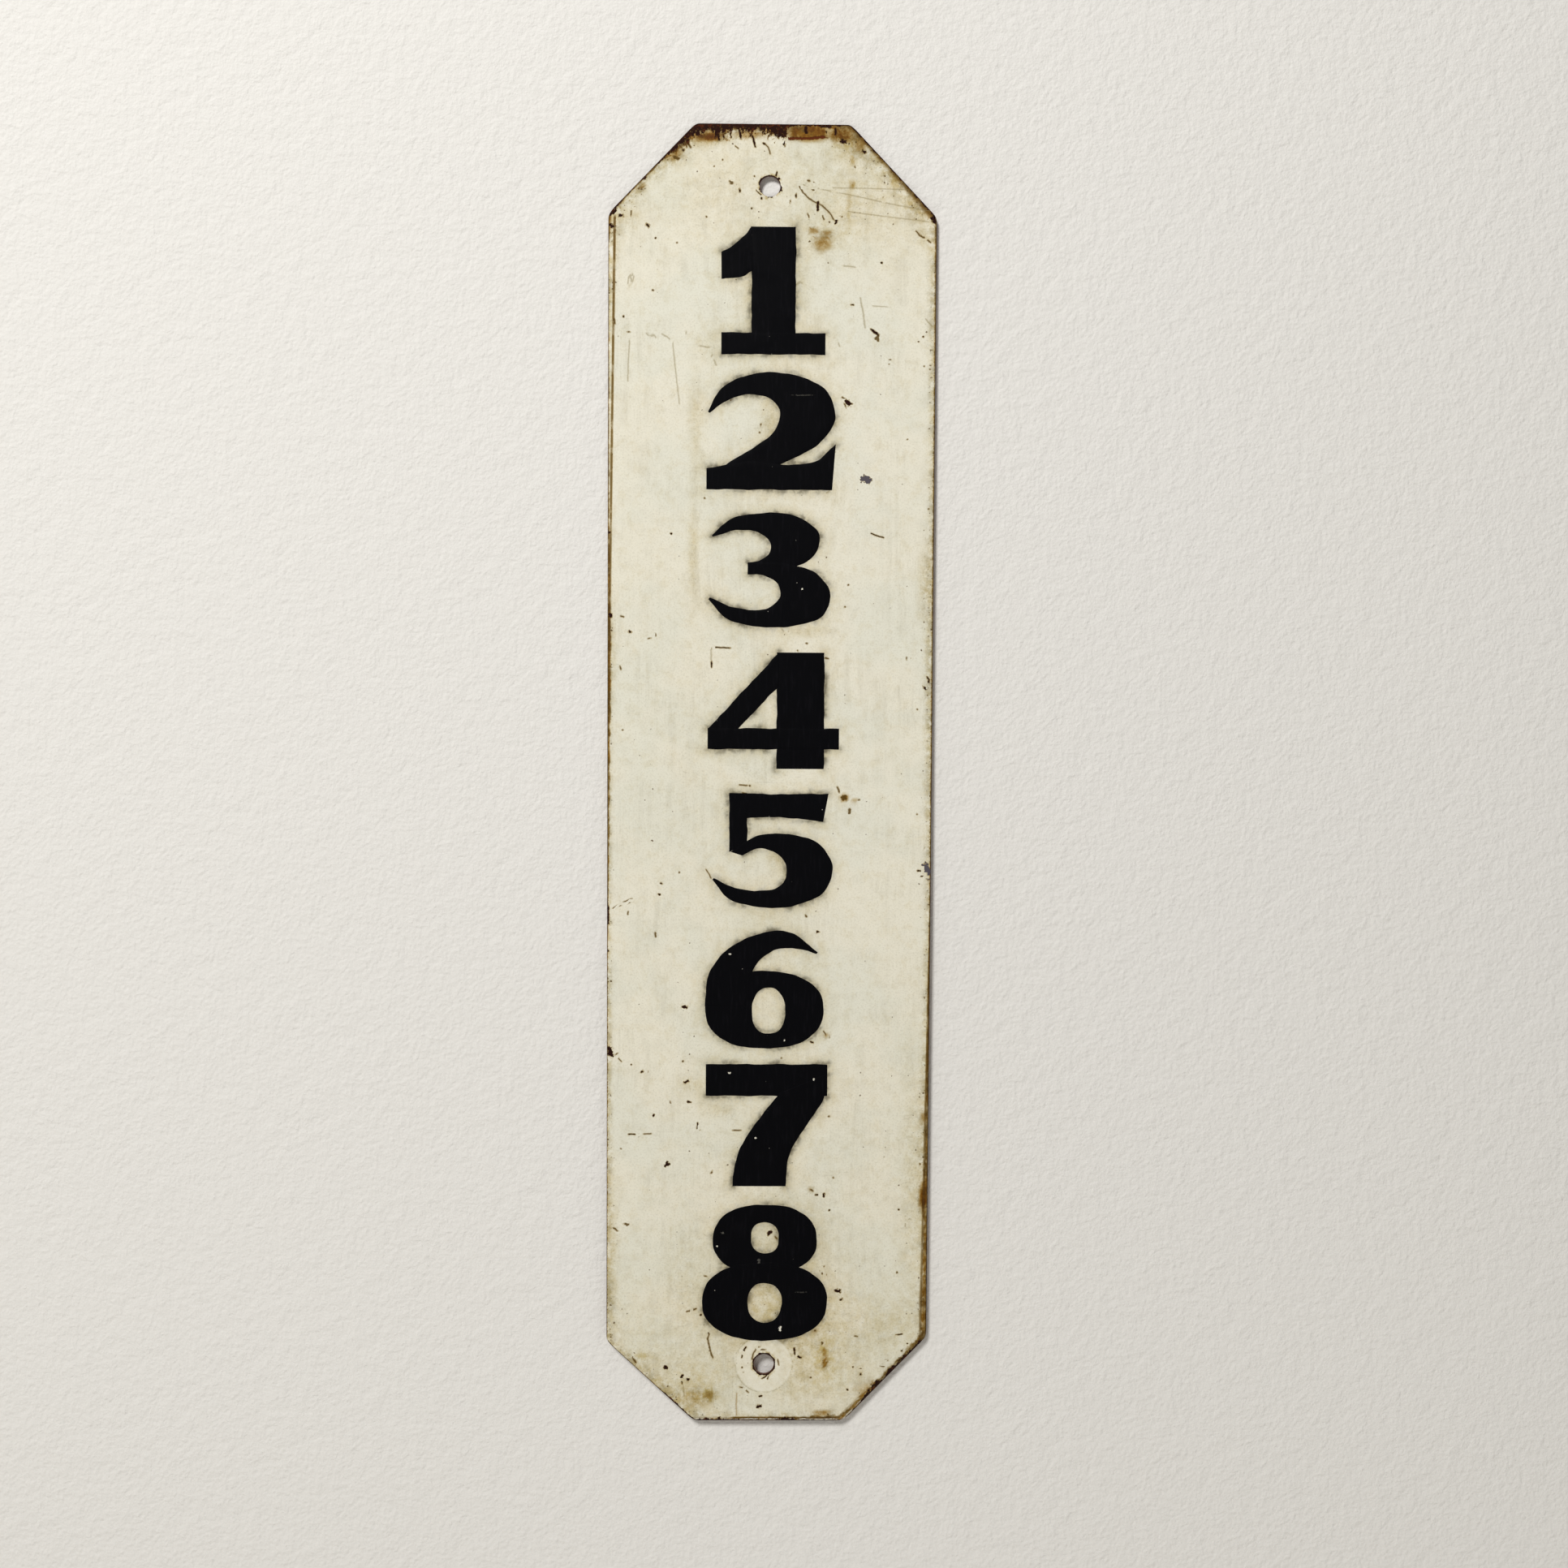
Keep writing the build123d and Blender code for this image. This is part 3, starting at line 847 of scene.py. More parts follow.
        (0.22, (-44.9, 205.6), (-44.2, 199.0), (-43.0, 188.0), (-41.6, 176.6)),
        (0.24, (-64.8, 206.0), (-65.4, 196.0), (-65.6, 187.0)), (0.30, (-32.4, 203.4), (-27.6, 202.6)),
        (0.30, (-26.4, 199.6), (-27.0, 198.0)), (0.34, (-25.6, 197.0), (-24.6, 194.6)),
        (0.34, (12.0, 231.4), (14.0, 233.2), (15.0, 232.6)),
        (
            0.26, (-65.6, 231.2), (-65.4, 234.4), (-64.0, 236.4), (-62.9, 235.2), (-63.4, 232.4),
            (-65.0, 230.8),
        ),
        (0.30, (42.2, 226.0), (43.6, 219.0), (44.6, 212.0)), (0.26, (72.6, 216.6), (75.6, 213.4)),
        (0.24, (32.0, 205.6), (32.8, 203.6)), (0.26, (27.2, 135.8), (28.8, 137.2)),
        (0.20, (48.0, 222.4), (55.0, 222.0)), (0.30, (34.0, 240.8), (40.0, 240.0)),
        (0.24, (-38.6, 210.4), (-38.6, 208.6)), (0.30, (-26.4, 63.0), (-26.4, 58.0)),
        (0.30, (6.4, 72.6), (7.4, 71.4)), (0.26, (9.6, 71.4)), (0.26, (74.8, -29.2), (73.8, -30.8)),
        (0.22, (-38.4, -287.0), (-37.8, -292.4)), (0.24, (-26.6, -254.0), (-26.4, -258.4)),
        (0.26, (66.0, -206.6), (69.6, -206.8)), (0.24, (67.0, -205.0), (67.0, -211.0)),
        (0.34, (56.6, -177.0)),
    ],
    "amber": [
        (0.30, (-12.8, -290.8), (-13.0, -297.0), (-12.8, -302.0)), (0.45, (28.8, -269.6), (29.2, -273.6)),
        (0.65, (29.0, -274.4), (29.2, -277.4)), (0.24, (18.4, 258.2), (19.6, 257.0)),
        (0.30, (21.4, 256.6), (22.8, 255.4)), (0.22, (20.0, 254.2), (21.6, 253.0)),
        (0.26, (24.6, 256.0), (25.8, 256.4)), (0.24, (27.2, 256.6), (28.6, 255.6)),
        (0.28, (26.4, 253.8), (27.6, 252.8)),
    ],
    "slate": [
        (1.60, (44.6, 142.6), (46.4, 142.2)), (1.30, (74.9, -38.6), (76.4, -42.0)),
        (0.60, (75.4, -43.6), (76.6, -44.6)),
    ],
    "red": [(0.52, (7.6, 298.5), (15.0, 298.7), (22.0, 299.2), (26.6, 299.6))],
}

# How far from a mark's edge its stored offset reaches, in millimetres
MARK_REACH = 3.2

# The two layers of marks, which may cross each other, and the kinds of mark in each
LAYERS = {"under": ("scratch", "faint", "amber"), "over": ("dark", "slate", "red")}

# The paint and the strength that each kind of mark takes

TONES = {
    "dark": ("dark_rust", 1.0),
    "scratch": ("umber", 0.85),
    "faint": ("grime", 0.42),
    "amber": ("amber", 0.45),
    "slate": ("slate", 0.95),
    "red": ("rust", 1.0),
}


def stops_along(table, points, x, z):
    """A value for every point, read off the stops of the side nearest to it."""
    distances = [edge_distance(x, z, points[k], points[(k + 1) % 8]) for k in range(8)]
    nearest = np.argmin(distances, axis=0)
    value = np.zeros_like(x)
    for k, (side, axis) in enumerate(SIDES):
        if side in table:
            places, reaches = zip(*table[side])
            here = nearest == k
            value[here] = np.interp((x, z)[axis][here] / MM, places, reaches)
    return value


def edge_distance(x, z, start, end):
    """How far each point lies inside one side's line."""
    out = outward(start, end)
    return (start[0] - x) * out[0] + (start[1] - z) * out[1]


def mark_fields(x, z, look, kinds):
    """The nearest mark of the given kinds for every point: offset, number, half width and colour.

    The offset to a straight run is the point minus the place on the run at a share of its length, the
    share held between 0 and 1. A point within reach takes the mark whose edge is nearest. Each mark has
    its own number, so that a shader can leave out the faces where two marks meet.
    """
    offset = np.zeros((len(x), 4))
    tone = np.zeros((len(x), 4))
    closest = np.full(len(x), MARK_REACH)
    place = np.column_stack([x, z]) / MM
    number = 0
    for name in kinds:
        paint, strength = TONES[name]
        for half_width, *points in MARKS[name]:
            number += 1
            for start, end in zip(points, points[1:] or points):
                run = np.subtract(end, start)
                share = np.clip((place - start) @ run / max(run @ run, 1e-6), 0, 1)[:, None]
                away = place - start - share * run
                gap = np.linalg.norm(away, axis=1) - half_width
                here = gap < closest
                closest[here] = gap[here]
                offset[here, :2] = away[here]
                offset[here, 2:] = number, half_width
                tone[here] = (*getattr(look, paint), strength)
    return offset, tone


def numeral_distance(x, z, look):
    """How far each point lies from the nearest painted edge, up to 14 mm."""
    reach = 14 * MM
    distance = np.full(len(x), reach)
    for numeral in strokes(look):
        edge = np.vstack([line for _, *lines in numeral for line in lines])
        low, high = edge.min(axis=0) - reach, edge.max(axis=0) + reach
        here = np.flatnonzero((x > low[0]) & (x < high[0]) & (z > low[1]) & (z < high[1]))
        for part in np.array_split(here, 12):
            gaps = np.hypot(x[part, None] - edge[None, :, 0], z[part, None] - edge[None, :, 1])
            distance[part] = np.minimum(distance[part], gaps.min(axis=1))
    return distance


def write_wear(piece, points, sizes, look):
    """Stores on the sheet what its paint reads: the wear of the rim, lips, face, holes and marks."""
    x, z = points[:, 0], points[:, 2]
    corners = corner_points(sizes)
    edge = np.min([edge_distance(x, z, corners[k], corners[(k + 1) % 8]) for k in range(8)], axis=0) / MM
    tables = (RUST, AMBER, GRIME, CREASE, RIM, RIDGE)
    rust, amber, grime, crease, rim, ridge = (stops_along(table, corners, x, z) for table in tables)
    stain = np.zeros_like(x)
    for at_x, at_z, half_x, half_z, strength in STAINS:
        stain += strength * np.exp(-((x / MM - at_x) / half_x) ** 2 - ((z / MM - at_z) / half_z) ** 2)
    pool = np.zeros_like(x)
    for at_x, at_z, half_x, half_z, strength in POOLS:
        away = ((x / MM - at_x) / half_x) ** 2 + ((z / MM - at_z) / half_z) ** 2
        pool = np.maximum(pool, strength * np.exp(-(away ** 2)))
    hole = np.sign(z) * sizes.hole_spacing / 2
    mesh = piece.data
    write_attribute(mesh, "edge_wear", (rust, amber, grime, edge))
    write_attribute(mesh, "lip_wear", (crease, past_creases(x, z, sizes) / MM, rim))
    write_attribute(mesh, "face_wear", (numeral_distance(x, z, look) / MM, stain, pool, ridge))
    write_attribute(mesh, "hole_offset", (x / MM, (z - hole) / MM, np.sign(z)))
    for layer, kinds in LAYERS.items():
        offset, tone = mark_fields(x, z, look, kinds)
        write_attribute(mesh, layer + "_offset", tuple(offset.T))
        write_attribute(mesh, layer + "_tone", tuple(tone.T))


# Materials

# Radii in millimetres of the ripped paint round the two holes, and of the print of a washer round each
UPPER_TORN = (4.72, 5.6)
LOWER_TORN = 5.35
UPPER_PRINT = 12.5
LOWER_PRINT = 13.7


class Wiring:
    """The nodes of one material or sky, added by short calls that each return an output."""

    def __init__(self, block):
        block.use_nodes = True
        self.block = block
        self.tree = block.node_tree
        self.tree.nodes.clear()

    def add(self, kind, inputs=(), **settings):
        """Adds a node and feeds its inputs from (name or number, output or value) pairs."""
        node = self.tree.nodes.new(kind)
        for key, value in settings.items():
            setattr(node, key, value)
        for key, value in inputs:
            socket = node.inputs[key]
            if isinstance(value, bpy.types.NodeSocket):
                self.tree.links.new(value, socket)
            elif socket.type == "RGBA":
                socket.default_value = (*value, 1)
            else:
                socket.default_value = value
        return node

    def math(self, operation, *values):
        """A sum on single values."""
        return self.add("ShaderNodeMath", enumerate(values), operation=operation).outputs[0]

    def times(self, *values):
        """The product of several values."""
        product = values[0]
        for value in values[1:]:
            product = self.math("MULTIPLY", product, value)
        return product

    def most(self, *values):
        """The largest of several values."""
        largest = values[0]
        for value in values[1:]:
            largest = self.math("MAXIMUM", largest, value)
        return largest

    def vector(self, operation, *values):
        """A sum on vectors."""
        return self.add("ShaderNodeVectorMath", enumerate(values), operation=operation).outputs[0]

    def fade(self, value, start, end, low=0.0, high=1.0):
        """Runs smoothly from low where the value is at start to high where it is at end."""
        inputs = (("Value", value), ("From Min", start), ("From Max", end), ("To Min", low), ("To Max", high))
        return self.add("ShaderNodeMapRange", inputs, interpolation_type="SMOOTHSTEP").outputs[0]

    def mix(self, factor, first, second, blend="MIX"):
        """One colour over another."""
        inputs = ((0, factor), (6, first), (7, second))
        return self.add("ShaderNodeMix", inputs, data_type="RGBA", blend_type=blend).outputs[2]

    def tint(self, factor, base, colour):
        """Two thin coats of a see-through colour, which stay rich where they are half laid."""
        once = self.mix(factor, base, colour, "MULTIPLY")
        return self.mix(factor, once, colour, "MULTIPLY")

    def coordinates(self):
        """Object coordinates in millimetres."""
        place = self.add("ShaderNodeTexCoord").outputs["Object"]
        return self.vector("MULTIPLY", place, (1 / MM, 1 / MM, 1 / MM))

    def on_face(self):
        """Millimetres across and up the face, as a flat vector."""
        parts = self.parts(self.coordinates())
        return self.add("ShaderNodeCombineXYZ", ((0, parts[0]), (1, parts[2]))).outputs[0]

    def attribute(self, name):
        """A stored attribute as its three numbers and its fourth."""
        node = self.add("ShaderNodeAttribute", attribute_name=name)
        parts = self.parts(node.outputs["Vector"])
        return parts[0], parts[1], parts[2], node.outputs["Alpha"]

    def noise(self, where, size, detail=2.0, roughness=0.5, stretch=(1, 1, 1), flat=True):
        """Cloudy noise whose blotches are about the given size in millimetres."""
        where = self.vector("DIVIDE", where, tuple(size * s for s in stretch))
        inputs = (("Vector", where), ("Scale", 1.0), ("Detail", detail), ("Roughness", roughness))
        return self.add("ShaderNodeTexNoise", inputs, noise_dimensions="2D" if flat else "3D").outputs[0]

    def warp(self, place, size, amount, where=None):
        """Pushes a place about by noise, half the amount at most, in blotches of the given size."""
        where = self.vector("DIVIDE", place if where is None else where, (size, size, size))
        inputs = (("Vector", where), ("Scale", 1.0), ("Detail", 2.0))
        push = self.add("ShaderNodeTexNoise", inputs, noise_dimensions="2D").outputs[1]
        push = self.vector("SUBTRACT", push, (0.5, 0.5, 0.5))
        return self.vector("ADD", place, self.vector("MULTIPLY", push, (amount, amount, amount)))

    def parts(self, vector):
        """The three numbers of a vector."""
        return self.add("ShaderNodeSeparateXYZ", ((0, vector),)).outputs

    def distance(self, across, up):
        """The length of a flat offset."""
        offset = self.add("ShaderNodeCombineXYZ", ((0, across), (1, up))).outputs[0]
        return self.add("ShaderNodeVectorMath", ((0, offset),), operation="LENGTH").outputs["Value"]

    def specks(self, where, spacing, radius, share):
        """Round specks at random, one to a cell in a share of the cells, up to the given radius."""
        where = self.vector("DIVIDE", where, (spacing, spacing, spacing))
        cells = self.add("ShaderNodeTexVoronoi", (("Vector", where), ("Scale", 1.0)), voronoi_dimensions="2D")
        chance = self.add("ShaderNodeSeparateColor", ((0, cells.outputs["Color"]),)).outputs
        largest = self.math("MULTIPLY", chance[1], radius / spacing)
        outside = self.math("SUBTRACT", cells.outputs["Distance"], largest)
        shape = self.fade(outside, 0.1 / spacing, -0.1 / spacing)
        return self.times(shape, self.math("LESS_THAN", chance[0], share))

    def finish(self, base, roughness, height, bump, specular):
        """Ends the material in a shader whose bump is the given height in millimetres."""
        normal = self.add(
            "ShaderNodeBump", (("Height", height), ("Strength", 1.0), ("Distance", bump * MM))
        ).outputs[0]
        inputs = (
            ("Base Color", base), ("Roughness", roughness), ("Normal", normal),
            ("Specular IOR Level", specular),
        )
        shader = self.add("ShaderNodeBsdfPrincipled", inputs)
        self.add("ShaderNodeOutputMaterial", ((0, shader.outputs[0]),))
        return self.block


def bare_steel(w, where, look, flat):
    """Colour of rusted steel: dark scale, brown rust and a little orange bloom."""
    scale = w.noise(where, 3.0, 4, 0.65, flat=flat)
    bloom = w.noise(where, 1.3, 3, 0.6, flat=flat)
    base = w.mix(w.fade(scale, 0.52, 0.80), look.dark_rust, look.rust)
    return w.mix(w.times(w.fade(bloom, 0.60, 0.78), 0.4), base, look.amber)


def brushed_cream(w, where, look):
    """Cream laid on with a brush: cloudy thin places, long soft streaks and fine bristle lines."""
    cloud = w.noise(where, 40, 3, 0.55)
    broad = w.noise(w.warp(where, 30, 3), 3.6, 3, 0.55, stretch=(1, 18, 1))
    fine = w.noise(w.warp(where, 12, 1.2), 0.7, 3, 0.6, stretch=(1, 12, 1))
    where_brushed = w.fade(w.noise(where, 26, 2), 0.40, 0.62)
    base = w.mix(w.fade(cloud, 0.36, 0.64, 0.0, 0.8), look.cream, look.cool_cream)
    base = w.mix(w.times(w.fade(broad, 0.42, 0.72), where_brushed, 0.10), base, look.grime)
    base = w.mix(w.times(w.fade(fine, 0.45, 0.75), where_brushed, 0.08), base, look.grime)
    return base, fine


def aged_cream_paint(look):
    """Cream paint brushed on steel, dirty, stained, chipped along its rim and worn round the holes."""
    w = Wiring(bpy.data.materials.new("aged_cream_paint"))
    where = w.on_face()
    rust, amber, grime, edge = w.attribute("edge_wear")
    crease, past, rim, _ = w.attribute("lip_wear")
    painted_edge, stain, pool, ridge = w.attribute("face_wear")
    base, bristle = brushed_cream(w, where, look)

    # How soiled a place is: most in the stains and towards the rim
    to_rim = w.math("DIVIDE", edge, w.math("MAXIMUM", grime, 0.2))
    rim_dirt = w.math("POWER", w.fade(to_rim, 1.15, 0.0), 1.5)
    soiled = w.math("MINIMUM", w.math("ADD", w.times(stain, 1.3), w.math("ADD", rim_dirt, 0.26)), 1.0)

    # Dirt in clouds, fine pepper, and rubbed lines across it
    blotch = w.noise(w.warp(where, 6, 2.5), 7, 6, 0.72)
    pepper = w.noise(where, 0.9, 4, 0.7)
    rubbed = w.noise(w.warp(where, 9, 3), 1.0, 3, 0.6, stretch=(9, 1, 1))
    base = w.mix(w.times(w.fade(blotch, 0.44, 0.74), soiled, 0.30), base, look.grime)
    base = w.mix(w.fade(pepper, 0.42, 0.72, 0.0, 0.12), base, look.grime)
    wiped = w.noise(w.warp(where, 20, 9), 6, 6, 0.74)
    base = w.mix(w.fade(wiped, 0.48, 0.70, 0.0, 0.17), base, look.stain, "MULTIPLY")
    base = w.mix(w.times(w.fade(pepper, 0.54, 0.74), soiled, 0.34), base, look.grime)
    lines = w.times(w.fade(rubbed, 0.62, 0.80), w.fade(blotch, 0.4, 0.6), soiled, 0.40)
    base = w.mix(lines, base, look.grime)

    # Stains as a tint over the cream
    smear = w.noise(w.warp(where, 5, 2), 4.0, 6, 0.7)
    stained = w.math("MINIMUM", w.times(stain, w.fade(smear, 0.28, 0.70, 0.35, 1.25)), 1.0)
    base = w.mix(stained, base, look.stain, "MULTIPLY")
    base = w.mix(w.times(rim_dirt, w.fade(smear, 0.32, 0.64), 0.75), base, look.stain, "MULTIPLY")
    base = w.mix(w.times(rim_dirt, w.fade(blotch, 0.40, 0.66), 0.42), base, look.grime)

    # Thinned black and dust along the painted edges
    drift = w.noise(w.warp(where, 6, 2.5), 4.2, 4, 0.62)
    heavy = w.fade(w.noise(where, 22, 2), 0.38, 0.60)
    near = w.math("ADD", painted_edge, w.fade(drift, 0.30, 0.70, -0.6, 1.2))
    tight = w.math("POWER", w.fade(near, 3.2, -0.9), 1.5)
    wide = w.math("POWER", w.fade(near, 5.6, -0.9), 1.6)
    round_about = w.times(w.fade(painted_edge, 10.0, 0.0), w.fade(drift, 0.35, 0.65, 0.3, 1.0), 0.30)
    base = w.mix(round_about, base, look.stain, "MULTIPLY")
    base = w.mix(w.times(wide, heavy, 0.55), base, look.grime)
    base = w.mix(w.times(tight, w.fade(heavy, 0, 1, 0.35, 0.80)), base, look.smoke)

    # Rust water: at the rim, in pools, along the creases and on the very edge
    creep = w.noise(w.warp(where, 4, 2), 5, 4, 0.6)
    amber_reach = w.math("MAXIMUM", w.times(amber, w.fade(creep, 0.3, 0.7, 0.70, 1.15)), 0.05)
    ambered = w.fade(w.math("DIVIDE", edge, amber_reach), 1.10, 0.70)
    ragged = w.math("ADD", edge, w.fade(pepper, 0.3, 0.7, -0.3, 0.3))
    browned = w.math("POWER", w.fade(w.math("DIVIDE", ragged, w.math("MAXIMUM", rim, 0.05)), 1.15, 0.20), 1.4)
    beside = w.math("ABSOLUTE", w.math("ADD", past, 0.1))
    coat = w.most(
        w.times(ambered, w.fade(smear, 0.30, 0.62, 0.55, 1.0)),
        w.times(pool, w.fade(smear, 0.30, 0.60, 0.90, 1.50)),
        w.times(browned, w.fade(smear, 0.30, 0.60, 0.70, 1.0)),
    )
    cast = w.times(w.fade(w.noise(where, 14, 2), 0.32, 0.56), w.fade(pool, 0.45, 0.10))
    base = w.tint(w.math("MINIMUM", coat, 1.0), base, w.mix(cast, look.tea, look.olive))
    deep = w.times(w.fade(pool, 0.40, 0.85), w.fade(smear, 0.36, 0.60, 0.35, 1.0))
    base = w.mix(deep, base, look.tea, "MULTIPLY")
    burnt = w.most(w.times(ambered, 0.35), w.times(pool, 0.30))
    base = w.mix(w.times(burnt, w.fade(blotch, 0.52, 0.66)), base, look.umber)
    broken = w.fade(w.noise(where, 9, 4, 0.65), 0.36, 0.52, 0.55, 1.0)
    base = w.tint(w.times(w.fade(beside, 0.85, 0.35), crease, broken), base, look.olive)
    base = w.mix(w.times(w.fade(beside, 0.50, 0.15), crease, broken, 0.70), base, look.umber)
    base = w.mix(w.times(browned, browned, 0.60), base, look.umber)
    from_crest = w.math("ABSOLUTE", w.math("SUBTRACT", edge, w.fade(creep, 0.3, 0.7, 0.70, 1.15)))
    crest = w.fade(from_crest, 0.40, 0.15)
    base = w.mix(w.times(crest, ridge, w.fade(blotch, 0.40, 0.56)), base, look.cream)

    # Holes: a dark ring of ripped paint with painted shade at the upper one's top, round in the upper one and
    # eight sided in the lower, and a washer's print
    across, up, end, _ = w.attribute("hole_offset")
    from_hole = w.distance(across, up)
    lower = w.math("LESS_THAN", end, 0.0)
    tilted = w.times(w.math("ADD", w.math("ABSOLUTE", across), w.math("ABSOLUTE", up)), 0.7071)
    octagon = w.most(w.math("ABSOLUTE", across), w.math("ABSOLUTE", up), tilted)
    upper = w.math("SUBTRACT", 1.0, lower)
    shape = w.math("ADD", w.times(from_hole, upper), w.times(octagon, lower))
    lobes = w.noise(where, 3.6, 2, 0.5)
    # Up to 0.4 mm more ring towards the upper hole's top: painted shade of the hole's bore, on top of the
    # rust ring
    upper_reach_and_shade = w.math("ADD", w.fade(lobes, 0.46, 0.74, *UPPER_TORN), w.fade(up, -1.0, 3.0, 0.0, 0.40))
    reach = w.math("ADD", w.times(upper_reach_and_shade, upper), w.times(lower, LOWER_TORN))
    bare = w.math("ADD", reach, w.fade(pepper, 0.3, 0.7, -0.12, 0.12))
    torn_ring_and_shade = w.fade(w.math("SUBTRACT", shape, bare), 0.12, -0.12)
    singed = w.fade(w.math("SUBTRACT", shape, bare), 1.4, 0.0)
    ring = w.math("ABSOLUTE", w.math("SUBTRACT", from_hole, w.fade(lower, 0, 1, UPPER_PRINT, LOWER_PRINT)))
    broken_up = w.fade(smear, 0.40, 0.60, 0.0, 1.0)
    ring = w.times(w.fade(ring, 0.45, 0.05), broken_up, w.fade(lower, 0, 1, 0.20, 0.45))
    clouded = w.fade(smear, 0.3, 0.7, 1.0, 0.6)
    clean = w.times(w.fade(from_hole, 13.6, 12.6), w.fade(lower, 0, 1, 0.20, 0.72), clouded)
    base = w.mix(clean, base, look.cream)
    base = w.mix(ring, base, look.grime)
    base = w.mix(w.times(singed, w.fade(smear, 0.35, 0.6), 0.8), base, look.stain, "MULTIPLY")

    # Specks, thicker towards the rim and in the stains
    astray = w.warp(where, 0.9, 0.7)
    crowd = w.math("ADD", w.times(rim_dirt, 0.35), w.times(stain, 0.16))
    speck = w.most(
        w.specks(astray, 9, 0.46, w.math("ADD", crowd, 0.05)),
        w.specks(astray, 2.6, 0.28, w.math("ADD", crowd, 0.015)),
        w.times(w.specks(astray, 1.7, 0.50, w.times(rim_dirt, 0.40)), w.fade(blotch, 0.45, 0.55)),
    )
    base = w.mix(w.times(speck, 0.90), base, look.umber)

    # The listed marks, each a frayed blot or scratch in a faint brown stain
    sway = w.parts(w.warp((0.0, 0.0, 0.0), 1.8, 1.0, where))
    fray = w.fade(w.noise(where, 1.3, 3, 0.55), 0.30, 0.70, -0.85, 0.85)
    pitted = 0.0
    for layer in LAYERS:
        mark_x, mark_z, number, half_width = w.attribute(layer + "_offset")
        tone = w.add("ShaderNodeAttribute", attribute_name=layer + "_tone")
        strength = tone.outputs["Alpha"]
        loose = w.math("ADD", w.times(half_width, 1.3), 0.05)
        from_mark = w.distance(
            w.math("ADD", mark_x, w.times(sway[0], loose)), w.math("ADD", mark_z, w.times(sway[1], loose))
        )
        frayed = w.times(half_width, w.math("MINIMUM", half_width, 0.5), fray)
        beyond = w.math("SUBTRACT", from_mark, w.math("ADD", half_width, frayed))
        apart = w.math("ABSOLUTE", w.math("SUBTRACT", number, w.math("ROUND", number)))
        whole = w.times(w.math("LESS_THAN", apart, 0.002), w.math("GREATER_THAN", number, 0.5))
        mark = w.times(w.fade(beyond, 0.07, -0.07), whole, strength)
        base = w.tint(w.times(w.fade(beyond, 0.50, 0.0), whole, strength, strength, 0.70), base, look.olive)
        base = w.mix(mark, base, tone.outputs["Color"])
        pitted = w.most(pitted, mark)

    # Bare steel where the paint is gone, with a burnt fringe round it
    fingers = w.noise(w.warp(where, 3, 1.5), 2.2, 5, 0.70, stretch=(1, 2.0, 1))
    inside = w.math("SUBTRACT", edge, w.times(rust, w.fade(fingers, 0.30, 0.70, 0.25, 1.75)))
    wide_rust = w.fade(rust, 0.9, 2.5)
    fringe = w.times(w.fade(inside, 1.8, 0.0), wide_rust, w.fade(smear, 0.34, 0.58, 0.15, 1.0))
    base = w.tint(fringe, base, look.tea)
    base = w.mix(w.times(w.fade(inside, 0.6, 0.0), wide_rust, 0.8), base, look.umber)
    gone = w.most(w.fade(inside, 0.12, -0.12), torn_ring_and_shade)
    base = w.mix(gone, base, bare_steel(w, where, look, True))
    # The dark ring is ripped paint and rust, plus painted shade at the upper hole's top
    base = w.mix(w.times(torn_ring_and_shade, 0.75), base, look.dark_rust)

    roughness = w.fade(w.most(gone, pitted), 0, 1, 0.50, 0.90)
    height = w.math("SUBTRACT", 1.0, w.most(gone, pitted))
    height = w.math("ADD", height, w.times(w.math("ADD", bristle, pepper), 0.10))
    return w.finish(base, roughness, height, 0.09, 0.10)


# Places on the numerals where the black is rubbed, and bright spots that are part cream chips, part painted
# glints: x, z, half sizes in millimetres, strength

RUBS_AND_GLINTS = (
    (15.5, 181.0, 4.2, 0.3, 0.05), (-22.0, 152.0, 3.6, 0.3, 0.03), (16.0, 91.2, 0.5, 0.5, 0.9),
    (-5.0, -43.6, 4.6, 0.3, 0.05), (-17.0, -80.5, 0.5, 0.4, 0.7), (9.0, -121.2, 0.5, 0.5, 0.8),
    (-17.0, -137.0, 0.7, 0.4, 0.8), (23.0, -140.0, 0.4, 0.6, 0.7), (-4.5, -168.0, 0.5, 0.5, 0.9),
    (-20.0, -213.5, 0.7, 0.5, 0.10), (-2.6, -227.0, 0.6, 1.0, 0.08), (17.5, -242.0, 2.4, 0.3, 0.04),
    (7.7, -259.4, 0.6, 1.2, 0.9), (-22.5, -220.0, 0.4, 0.4, 0.8),
)


def numeral_black(look):
    """Black brush paint with faint streaks, rubbed places, small bright spots that are part chips and part
    painted glints, and a few cream specks.
    """
    w = Wiring(bpy.data.materials.new("numeral_black"))
    where = w.on_face()
    brush = w.noise(where, 1.2, 4, 0.6, stretch=(1, 9, 1))
    worn = w.noise(where, 14, 4, 0.6)
    crumbs = w.noise(where, 0.9, 3, 0.6)
    base = w.mix(w.fade(brush, 0.50, 0.85, 0.0, 0.04), look.black, look.slate)
    across, up, _ = w.parts(where)
    # The small strong spots are part cream chips and part painted glints of light on raised paint
    for x, z, half_x, half_z, strength in RUBS_AND_GLINTS:
        aside = w.math("DIVIDE", w.math("SUBTRACT", across, x), half_x)
        above = w.math("DIVIDE", w.math("SUBTRACT", up, z), half_z)
        rub_and_glint = w.fade(w.math("ADD", w.distance(aside, above), w.fade(crumbs, 0.3, 0.7, 0.5, -0.5)), 1.1, 0.7)
        base = w.mix(w.times(rub_and_glint, strength), base, look.cream)
    base = w.mix(w.times(w.specks(where, 12, 0.20, 0.18), 0.5), base, look.cream)
    roughness = w.fade(worn, 0.35, 0.65, 0.46, 0.66)
    return w.finish(base, roughness, brush, 0.02, 0.03)


